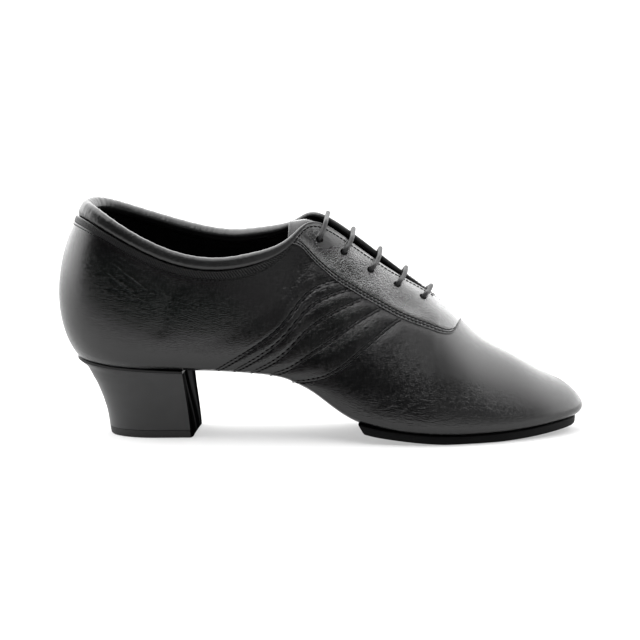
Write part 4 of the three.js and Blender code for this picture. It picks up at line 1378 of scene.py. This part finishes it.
@dataclass
class Collar:
    """The collar: a padded roll that runs out into the throat's binding, and a ribbed tape under it."""

    roll_height: float = 7.2
    roll_thickness: float = 6.0
    back_growth: float = 0.25
    last_rise_rib: float = 9.99
    collar_row: float = 1.1
    binding_row: float = 1.9
    binding_start_rib: float = 5.9
    slant: float = -0.8
    inner_reach: float = 1.5
    outer_power: float = 0.82
    inner_power: float = 1.3
    binding_height: float = 1.9
    binding_thickness: float = 3.0
    tape_width: float = 3.9
    tape_end_rib: float = 5.74
    fade_ribs: tuple[float, float] = (4.4, 7.0)

    def _even_ribs(self, end: float, count: int) -> Array:
        """Ribs, below 0 on the inner side, that lie evenly along the top edge."""
        ribs = np.linspace(-end, end, 1600)
        walked = lengths_along(LAST.top_ring(np.mod(ribs, RIB_COUNT)))
        return np.interp(np.linspace(0, walked[-1], count), walked, ribs)

    def _sections(self, ribs: Array, around: int) -> Array:
        """Rings of the roll, fuller at the back and thin along the facings."""
        u = np.mod(ribs, RIB_COUNT)
        rib = np.abs(ribs)
        reach = 0.02
        edge = LAST.top_ring(u)
        along = unit(LAST.top_ring(u + reach) - LAST.top_ring(u - reach))
        throat = rib >= LAST.throat_rib
        below = LAST.wall(np.where(throat, side_place(self.last_rise_rib, Side.OUTER), u), LAST.steady_up)
        rise = np.where(throat[:, None], [0, 0, 1.0], unit(edge - below))
        out = unit(np.cross(along, rise))
        rise = unit(np.cross(out, along))
        fade = 1 - smooth_step(*self.fade_ribs, rib)
        grown = self.roll_height * (1 + self.back_growth * (1 - smooth_step(0.5, 2.5, rib)))
        high = blend(self.binding_height, grown, fade)
        thick = blend(self.binding_thickness, self.roll_thickness, fade)
        centre = edge + rise * blend(0.35, high / 2 + 0.1, fade)[:, None]
        centre = centre + out * blend(-0.6, 0.8 - thick / 2, fade)[:, None]
        angle = -2 * math.pi * np.arange(around) / around
        power = np.where((np.cos(angle) < 0) & (np.sin(angle) > 0), self.inner_power, self.outer_power)
        level = np.sign(np.cos(angle)) * np.abs(np.cos(angle)) ** power
        upright = np.sign(np.sin(angle)) * np.abs(np.sin(angle)) ** power
        wrinkle = 1 + 0.03 * np.sin(ribs * 41) * np.sin(ribs * 17 + 1) * fade
        inward = np.maximum(0, -level)[None, :] * (self.slant * fade)[:, None]
        level = level[None, :] * (thick / 2 * wrinkle)[:, None] - inward / self.slant * self.inner_reach
        ring = centre[:, None] + out[:, None] * level[..., None]
        return ring + rise[:, None] * (upright[None, :] * (high / 2 * wrinkle)[:, None] - inward)[..., None]

    def roll(self) -> Object:
        """The padded roll and the binding, in one closed body."""
        ribs = self._even_ribs(LAST.throat_rib, 420)
        length = lengths_along(LAST.top_ring(np.mod(ribs, RIB_COUNT)))[-1]
        obj = add_tube("collar_binding", self._sections(ribs, 28), (length, 20.0))
        dress(obj, ROLL_LEATHER)
        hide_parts("collar_roll")
        return obj

    def _below_edge(self, ribs: Array, gaps: Array) -> tuple[Array, Array]:
        """Points and outward directions at distances below the top edge."""
        u = np.mod(ribs, RIB_COUNT)
        ups, walked = LAST.walk_down(u, 0.6, 200)
        up = np.array([np.interp(gap, row, ups) for gap, row in zip(gaps, walked)])
        places = np.broadcast_to(u[:, None], up.shape)
        return LAST.wall(places, up), LAST.normal(places, up)

    def _tape_width(self, ribs: Array) -> Array:
        """The tape's width, less towards the facings."""
        return self.tape_width * (1 - 0.5 * smooth_step(4.3, self.tape_end_rib, np.abs(ribs)))

    def tape(self) -> Object:
        """The ribbed tape under the roll."""
        columns, rows = 460, 10
        ribs = self._even_ribs(self.tape_end_rib, columns + 1)
        share = np.linspace(1, 0, rows + 1)
        gaps = 0.2 + self._tape_width(ribs)[:, None] * share
        points, out = self._below_edge(ribs, gaps)
        lift = -0.25 + 0.75 * (1 - np.abs(2 * share - 1) ** 5)
        points = points + out * lift[None, :, None]
        obj = add_sheet("ribbed_tape", columns, rows, lambda i, k: points[i, k])
        scale_uv(obj, (lengths_along(points[:, rows // 2])[-1], self.tape_width))
        apply_modifier(obj, "SOLIDIFY", thickness=0.5 * MM, offset=-1)
        smooth(obj, 50)
        return dress(obj, TAPE)

    def stitching(self) -> list[Object]:
        """The stitch row under the tape and the row beside the facings' binding."""
        ribs = self._even_ribs(self.tape_end_rib - 0.05, 500)
        below, out = self._below_edge(ribs, self._tape_width(ribs)[:, None] + self.collar_row)
        collar_row = (below[:, 0] + out[:, 0] * 0.05, out[:, 0])
        facing_rows = []
        for way in (1, -1):
            facing = np.linspace(self.binding_start_rib, LAST.throat_rib - 0.1, 260) * way
            points, outward = self._below_edge(facing, np.full((len(facing), 1), self.binding_row))
            facing_rows.append((points[:, 0] + outward[:, 0] * 0.9, outward[:, 0]))
        return [
            Stitching(pitch=2.3, length=1.6, thread=0.55).sew("collar_stitches", [collar_row]),
            Stitching(pitch=2.2, length=1.95, thread=0.75).sew("binding_stitches", facing_rows),
        ]

    def build(self) -> list[Object]:
        """Builds the collar."""
        return [self.roll(), self.tape(), *self.stitching()]


@dataclass
class Tongue:
    """The tongue, inside the facings and bridging the throat."""

    thickness: float = 2.0
    drop: float = 3.5
    wall: float = 1.8
    crown: float = 0.0085
    top_rib: float = 5.75
    end_rib: float = 10.6
    flank_top: float = 0.66
    flank_end: float = 0.74

    def _section(self, rib: float, count: int) -> Array:
        """Points across the tongue at a rib, from the outer side to the inner one."""
        depth = self.wall + self.drop
        low = blend(self.flank_top, self.flank_end, float(smooth_step(self.top_rib, self.end_rib, rib)))
        ups = np.array([low, 0.5 * (low + 1), 1.0])
        outer = LAST.inside(rib, ups, depth)
        inner = LAST.inside(RIB_COUNT - rib, ups, depth)[::-1]
        middle = 0.5 * (outer[2] + inner[0])
        middle[2] += self.crown * float(((LAST.top(rib) - LAST.top(RIB_COUNT - rib)) ** 2).sum())
        guide = np.vstack([outer[:2], middle, inner[1:]])
        return even_path(open_spline(guide)(np.linspace(0, 4, 120)), count)

    def build(self) -> list[Object]:
        """Builds the tongue."""
        length, across = 60, 28
        ribs = np.linspace(self.top_rib, self.end_rib, length + 1)
        points = np.stack([self._section(float(rib), across + 1) for rib in ribs])
        obj = add_sheet("tongue_leather", length, across, lambda i, k: points[i, k])
        apply_modifier(obj, "SOLIDIFY", thickness=self.thickness * MM, offset=-1, material_offset=1)
        apply_modifier(
            obj, "BEVEL", width=0.6 * MM, segments=3, limit_method="ANGLE", angle_limit=math.radians(50)
        )
        smooth(obj, 50)
        dress(obj, TONGUE_LEATHER, LINING_LEATHER)
        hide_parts("tongue")
        return [obj]


@dataclass
class Lace:
    """The lace: straight bars over the throat, with its ends hidden behind the top eyelets."""

    eyelets: Eyelets
    diameter: float = 2.5
    lean: float = 0.13
    slant: float = 1.3
    clearance: float = 0.35
    wall: float = 1.8
    step: float = 0.8
    crest_rise: float = 1.5
    bend: float = 1.8
    longest_bend: float = 0.45
    lane: float = 3.36

    def _corners(self) -> Array:
        """The lace's route: down beside the holes, then back and forth over the throat."""
        lift = self.step + self.diameter / 2 + 1.5 * self.clearance
        bury = self.wall + self.diameter / 2 + 1.5 * self.clearance
        corners = []
        for pair in range(self.eyelets.pairs):
            u = self.eyelets.rib(pair)
            up = float(LAST.up_below_top(u, self.eyelets.inset + self.lane)[0])
            corners.append(LAST.inside(u, up, bury))
        for turn, pair in enumerate(reversed(range(self.eyelets.pairs))):
            sides = (Side.OUTER, Side.INNER) if turn % 2 == 0 else (Side.INNER, Side.OUTER)
            ends = []
            for side in sides:
                u, up = self.eyelets.place(pair, side)
                over, half, crest = (
                    float(side_place(self.eyelets.rib(pair) + self.lean * share, side))
                    for share in (0.2, 0.6, 1)
                )
                emerge = float(LAST.up_below_top(u, self.eyelets.inset - self.slant)[0])
                ends.append([
                    LAST.inside(u, up, bury),
                    LAST.inside(over, emerge, -lift),
                    LAST.inside(half, (1 + up) / 2, -lift),
                    LAST.inside(crest, 1.0, -lift) + (0, 0, self.crest_rise),
                ])
            corners += ends[0] + ends[1][::-1]
        return np.array(corners)

    def _rounded(self, corners: Array, steps: int = 6) -> Array:
        """The route with each corner rounded off."""
        points = [corners[0]]
        for before, corner, after in zip(corners, corners[1:], corners[2:]):
            gaps = [np.linalg.norm(corner - end) for end in (before, after)]
            cut = min(self.bend, *(self.longest_bend * gap for gap in gaps))
            into, away = (blend(corner, end, cut / gap) for end, gap in zip((before, after), gaps))
            for t in np.linspace(0, 1, steps):
                points.append((1 - t) ** 2 * into + 2 * t * (1 - t) * corner + t * t * away)
        return np.array(points + [corners[-1]])

    def build(self) -> list[Object]:
        """Builds the lace."""
        path = self._rounded(self._corners())
        path = even_path(path, 900)
        rings = round_rings(path, self.diameter / 2, 14)
        obj = add_tube("lace_cord", rings, (lengths_along(path)[-1], 1.0))
        dress(obj, CORD)
        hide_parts("lace")
        return [obj]


def round_rings(path: Array, radius: float, sides: int) -> Array:
    """Round rings along a path, carried along without a twist."""
    ahead = unit(np.gradient(path, axis=0))
    across = np.array([0.0, 0.0, 1.0])
    angle = 2 * math.pi * np.arange(sides) / sides
    rings = []
    for point, along in zip(path, ahead):
        across = unit(across - along * (across @ along))
        other = np.cross(along, across)
        rings.append(point + radius * (np.cos(angle)[:, None] * across + np.sin(angle)[:, None] * other))
    return np.array(rings)


@dataclass(frozen=True)
class Plate:
    """A plate along the feather edge, ruled across, with a shaped edge.

    edge holds rows of how far down the edge a level lies, as a share, and how far in it is set.
    """

    name: str
    ribs: tuple[float, float]
    ledge: float
    edge: Pairs
    top: Callable[[Array], Array]
    bottom: Callable[[Array], Array]
    rake: float = 0.0
    sections: int = 150
    across: int = 14

    def _level(self, rib: Array, side: Side, down: float, inset: float) -> Array:
        """Points of one level along one edge."""
        raked = np.maximum(rib, self.ribs[0] + self.rake * down)
        u = side_place(raked, side)
        point = LAST.foot(u) + LAST.outward(u) * (self.ledge - inset)
        point[:, 2] = blend(self.top(u), self.bottom(u), down)
        return point

    def build(self) -> Object:
        """Builds the plate as one closed body."""
        low, high = self.ribs
        rib = low + (high - low) * np.linspace(0, 1, self.sections + 1)
        outer = [self._level(rib, Side.OUTER, *level) for level in self.edge]
        inner = [self._level(rib, Side.INNER, *level) for level in self.edge]
        shares = np.linspace(0, 1, self.across + 1)[1:-1]
        bottom = [blend(outer[-1], inner[-1], share) for share in shares]
        top = [blend(inner[0], outer[0], share) for share in shares]
        rings = np.stack([*outer, *bottom, *inner[::-1], *top], 1)
        return add_tube(self.name, rings)


def foot_z(u: Array) -> Array:
    """Height of the feather edge."""
    return LAST.foot(u)[:, 2]


def bed_rise(u: Array, reach: float = 0.3) -> Array:
    """How much higher a layer over the feather edge lies where the foot's bed slopes."""
    along = LAST.foot(u + reach) - LAST.foot(u - reach)
    return np.linalg.norm(along, axis=1) / np.linalg.norm(along[:, :2], axis=1)


def mark_faces(obj: Object, index: int, test: Callable[[Array], Array]) -> None:
    """Gives faces another finish, chosen by their directions."""
    indices = np.where(test(read_faces(obj, "normal")), index, 0)
    obj.data.polygons.foreach_set("material_index", indices.astype(int))


@dataclass
class Bottom:
    """What the foot stands on: the sock, the sole pad and the rand."""

    sole_thickness: float = 4.6
    sole_ledge: float = 1.2
    pad_start: float = 8.2
    wall: float = 1.8
    clearance: float = 0.35
    insole_thickness: float = 2.0
    insole_inset: float = 1.1
    rand_thickness: float = 1.0

    def sole(self) -> Object:
        """The split sole's front pad, its edge inked and its tread brushed."""
        edge = (
            (0.0, 0.7), (0.05, 0.2), (0.14, 0.0), (0.45, 0.05),
            (0.75, 0.2), (0.9, 0.5), (0.97, 0.9), (1.0, 1.5),
        )
        obj = Plate(
            "sole", (self.pad_start, TIP_RIB), self.sole_ledge, edge, rake=0.16,
            top=lambda u: foot_z(u) - 0.1,
            bottom=lambda u: np.maximum(0, foot_z(u) - self.sole_thickness - self.clearance / 2),
        ).build()
        dress(obj, SOLE_EDGE, SOLE_SUEDE)
        mark_faces(obj, 1, lambda normal: normal[:, 2] < -0.8)
        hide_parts("sole_pad")
        return obj

    def insole(self) -> Object:
        """The insole and its sock."""
        lift = self.wall + self.clearance
        edge = ((0.0, 0.6), (0.12, 0.2), (0.35, 0.0), (0.8, 0.0), (1.0, 0.3))
        obj = Plate(
            "insole_sock", (0, TIP_RIB), -self.insole_inset, edge,
            top=lambda u: foot_z(u) + lift * bed_rise(u) + self.clearance + self.insole_thickness,
            bottom=lambda u: foot_z(u) + lift * bed_rise(u) + self.clearance,
        ).build()
        dress(obj, SOCK_LEATHER)
        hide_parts("insole")
        return obj

    def rand(self, end_rib: float) -> Object:
        """The thin rand between the upper and the heel."""
        edge = ((0.0, 0.3), (0.2, 0.0), (0.8, 0.0), (1.0, 0.25))
        obj = Plate(
            "rand_strip", (0, end_rib), 0.05, edge, sections=90,
            top=lambda u: foot_z(u) - 0.1,
            bottom=lambda u: foot_z(u) - 2 * self.clearance - self.rand_thickness + 0.1,
        ).build()
        dress(obj, RAND)
        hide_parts("heel_rand")
        return obj


class HeelLevel(NamedTuple):
    """One level of the heel, in shares: how far down, how much cup, its back, its breast, its width."""

    down: float
    flare: float
    back: float
    breast: float
    wide: float


HEEL_LEVELS = (
    HeelLevel(0, 1, 0.053, 0.2485, 1.1),
    HeelLevel(0.1, 0.36, 0.055, 0.2495, 1.08),
    HeelLevel(0.2, 0.12, 0.0575, 0.2505, 1.06),
    HeelLevel(0.38, 0, 0.0665, 0.2525, 1.035),
    HeelLevel(0.56, 0, 0.076, 0.255, 1.015),
    HeelLevel(0.78, 0, 0.0845, 0.2578, 1.005),
    HeelLevel(1, 0, 0.089, 0.26, 1),
)
LIFT_FOOT = HeelLevel(1, 0, 0.0915, 0.261, 1)
LIFT_EDGE: Pairs = ((0, 0.6), (0.02, 0.25), (0.08, 0.05), (0.5, 0), (0.88, 0.1), (0.97, 0.35), (1, 0.9))


@dataclass
class Heel:
    """The cupped heel block with its matt breast, which carries painted reflection as pale upright streak
    marks, and the top piece under it.
    """

    width: float = 47.0
    lift: float = 4.2
    rand: float = 1.0
    clearance: float = 0.35
    corner: float = 1.4
    hollow: float = 3.5
    foot_hollow: float = 0.4
    breast_turn: float = 0.7
    breast_facing: float = 0.3
    round_steps: float = 0.7
    round_length: float = 0.56
    squareness: float = 0.86
    toe_in: float = 0.97
    side_points: int = 42
    breast_points: int = 26

    @property
    def breast_rib(self) -> float:
        """The rib where the breast's corners meet the feather edge."""
        ribs = np.linspace(0, TIP_RIB, 1400)
        x = HEEL_LEVELS[0].breast * LAST.length - self.corner
        return float(np.interp(x, LAST.foot(ribs)[:, 0], ribs))

    def _outline(self, level: HeelLevel, breast_rib: float) -> Array:
        """A level's outline, each point at its height on the seat."""
        half = level.wide * self.width / 2
        start, end = level.back * LAST.length, level.breast * LAST.length
        ways = np.arange(-self.side_points, self.side_points + 1)
        share = np.abs(ways) / self.side_points
        turn = np.minimum(1, share / self.round_steps) * math.pi / 2
        straight = np.maximum(0, (share - self.round_steps) / (1 - self.round_steps))
        bow = np.sin(turn) ** self.squareness * blend(1, self.toe_in, straight)
        rounded = blend(start + self.round_length * (end - start), start, np.cos(turn))
        x = blend(rounded, end - self.corner, straight)
        seat = LAST.foot(np.where(ways < 0, share * breast_rib, RIB_COUNT - share * breast_rib))
        side = np.stack([x, np.sign(ways) * half * bow, seat[:, 2]], 1)
        side[:, :2] = blend(side[:, :2], seat[:, :2], level.flare)
        across = np.linspace(0.94, -0.94, self.breast_points)
        near = smooth_step(0.76, 0.96, np.abs(across))
        depth = blend(self.hollow, self.foot_hollow, level.down)
        hollow = end - depth * (1 - across**2) - self.breast_turn * near
        breast = np.stack([hollow, side[-1, 1] / self.toe_in * across, LAST.bed_height(hollow)], 1)
        return np.vstack([side, breast])

    def _levels(self, downs: Array) -> list[HeelLevel]:
        """Levels between the named ones."""
        table = np.array(HEEL_LEVELS)
        places = np.interp(downs, table[:, 0], np.arange(len(table)))
        rows = open_spline(table)(places)
        rows[:, 1] = np.clip(rows[:, 1], 0, 1)
        return [HeelLevel(down, *row[1:]) for down, row in zip(downs, rows)]

    def block(self) -> Object:
        """The block."""
        rib = self.breast_rib
        rings = []
        for level in self._levels(np.linspace(0, 1, 46) ** 1.25):
            ring = self._outline(level, rib)
            top = ring[:, 2] - 2 * self.clearance - self.rand + 0.1
            ring[:, 2] = blend(top, self.lift + 0.05, level.down)
            rings.append(ring)
        obj = add_tube("heel_shell", np.array(rings))
        dress(obj, HEEL_SHELL, HEEL_BREAST)
        mark_faces(obj, 1, lambda normal: normal[:, 0] > self.breast_facing)
        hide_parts("heel_block")
        return obj

    def top_piece(self) -> Object:
        """The rubber top piece."""
        rib = self.breast_rib
        rings = []
        for down, inset in LIFT_EDGE:
            level = HeelLevel(*blend(np.array(HEEL_LEVELS[-1]), np.array(LIFT_FOOT), down))
            ring = self._outline(level, rib)
            middle = ring.mean(0)
            shrink = 1 - inset / (self.width / 2)
            ring = middle + (ring - middle) * (shrink, shrink, 1)
            ring[:, 2] = blend(self.lift, 0.0, down)
            rings.append(ring)
        obj = add_tube("heel_top_piece", np.array(rings))
        dress(obj, RUBBER, HEEL_BREAST)
        mark_faces(obj, 1, lambda normal: normal[:, 0] > self.breast_facing)
        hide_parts("heel_lift")
        return obj

    def build(self) -> list[Object]:
        """Builds the heel."""
        return [self.block(), self.top_piece()]


@dataclass
class Studio:
    """A white table under a soft overhead light, a dark room in front of it, and the camera."""

    distance: float = 1550.0
    azimuth: float = 4.5
    elevation: float = 8.0
    roll: float = 0.8
    target: tuple[float, float, float] = (138.5, 0.0, 59.8)
    frame_width: float = 341.8
    sensor: float = 36.0
    overhead: float = 5.0
    behind: float = 4.0
    front: float = 0.04
    toe_share: float = 0.27
    light_tilt: float = 0.25
    side_share: float = 0.3
    table_tone: float = 0.42
    table_drop: float = 0.05
    fill: float = 0.7
    table_front: float = 0.4

    def _frame_axes(self) -> tuple[Array, Array, Array]:
        """The camera's right, up and back directions."""
        azimuth, elevation, roll = (math.radians(a) for a in (self.azimuth, self.elevation, self.roll))
        level = math.cos(elevation)
        back = np.array([math.sin(azimuth) * level, -math.cos(azimuth) * level, math.sin(elevation)])
        right = np.array([math.cos(azimuth), math.sin(azimuth), 0.0])
        up = np.cross(back, right)
        cosine, sine = math.cos(roll), math.sin(roll)
        return cosine * right - sine * up, sine * right + cosine * up, back

    def camera(self) -> None:
        """Sets the camera at the photo's angle, rolled as it is there."""
        right, up, back = self._frame_axes()
        data = bpy.data.cameras.new("camera")
        data.sensor_width = self.sensor
        data.lens = self.sensor * self.distance / self.frame_width
        data.clip_start = 0.05
        data.clip_end = 60
        camera = bpy.data.objects.new("camera", data)
        bpy.context.scene.collection.objects.link(camera)
        place = LAST.to_model(np.array(self.target)) + back * self.distance * MM
        matrix = Matrix(np.stack([right, up, back], 1).tolist()).to_4x4()
        camera.matrix_world = Matrix.Translation(Vector(place)) @ matrix
        bpy.context.scene.camera = camera

    def table(self) -> None:
        """The white table."""
        deselect()
        bpy.ops.mesh.primitive_plane_add(size=80, location=(0, 40 - self.table_front, -self.table_drop * MM))
        plane = bpy.context.object
        plane.name = "studio_table"
        material = bpy.data.materials.new("studio_paper")
        material.use_nodes = True
        shader = material.node_tree.nodes["Principled BSDF"]
        shader.inputs["Base Color"].default_value = (*(self.table_tone,) * 3, 1)
        shader.inputs["Roughness"].default_value = 1.0
        shader.inputs["Specular IOR Level"].default_value = 0.0
        shader.inputs["Emission Color"].default_value = (1, 1, 1, 1)
        shader.inputs["Emission Strength"].default_value = self.table_tone
        plane.data.materials.append(material)

    def sky(self) -> None:
        """The room as a sky: bright overhead and behind the shoe, dark on the camera's side."""
        world = bpy.data.worlds.new("studio_sky")
        bpy.context.scene.world = world
        world.use_nodes = True
        graph = Graph(world.node_tree)
        parts = graph.node("SeparateXYZ", {0: graph.node("TexCoord").outputs["Generated"]})
        across, depth, height = (parts.outputs[k] for k in range(3))
        tilted = graph.plus(height, depth, self.light_tilt)
        toe_side = graph.ramp(across, -0.05, 0.25, 1.0, self.toe_share)
        above = graph.math("MULTIPLY", graph.ramp(tilted, 0.6, 0.76, 0.0, self.overhead), toe_side)
        turned = graph.plus(depth, graph.math("ABSOLUTE", across), self.side_share)
        rear = graph.ramp(turned, -0.15, 0.45, self.front, self.behind)
        rising = graph.ramp(height, -0.02, 0.12)
        low = graph.math("MULTIPLY", rising, graph.ramp(height, 0.42, 0.6, 1.0, 0.0))
        fill = graph.math("MULTIPLY", low, graph.ramp(across, -0.12, 0.25, 0.0, self.fill))
        light = graph.math("MAXIMUM", graph.math("MAXIMUM", above, rear), fill)
        seen = graph.node("LightPath").outputs["Is Camera Ray"]
        strength = graph.math("MAXIMUM", light, seen)
        background = graph.node("Background", {"Color": (1, 1, 1, 1), "Strength": strength})
        end = graph.node("OutputWorld")
        graph.tree.links.new(background.outputs[0], end.inputs["Surface"])

    def build(self) -> None:
        """Sets up the studio."""
        bpy.context.scene.view_settings.view_transform = "Standard"
        self.camera()
        self.table()
        self.sky()


def main() -> None:
    """Builds the studio and every piece of the shoe in order, and logs each piece."""
    logging.basicConfig(level=logging.INFO, format="%(message)s")
    deselect()
    Studio().build()
    upper, heel, bottom = Upper(), Heel(), Bottom()
    pieces = [bottom.sole(), bottom.insole(), bottom.rand(heel.breast_rib), *heel.build()]
    pieces += [*upper.build(), *Collar().build(), *Tongue().build(), *Lace(upper.eyelets).build()]
    for piece in pieces:
        report(piece)


if __name__ == "__main__":
    main()
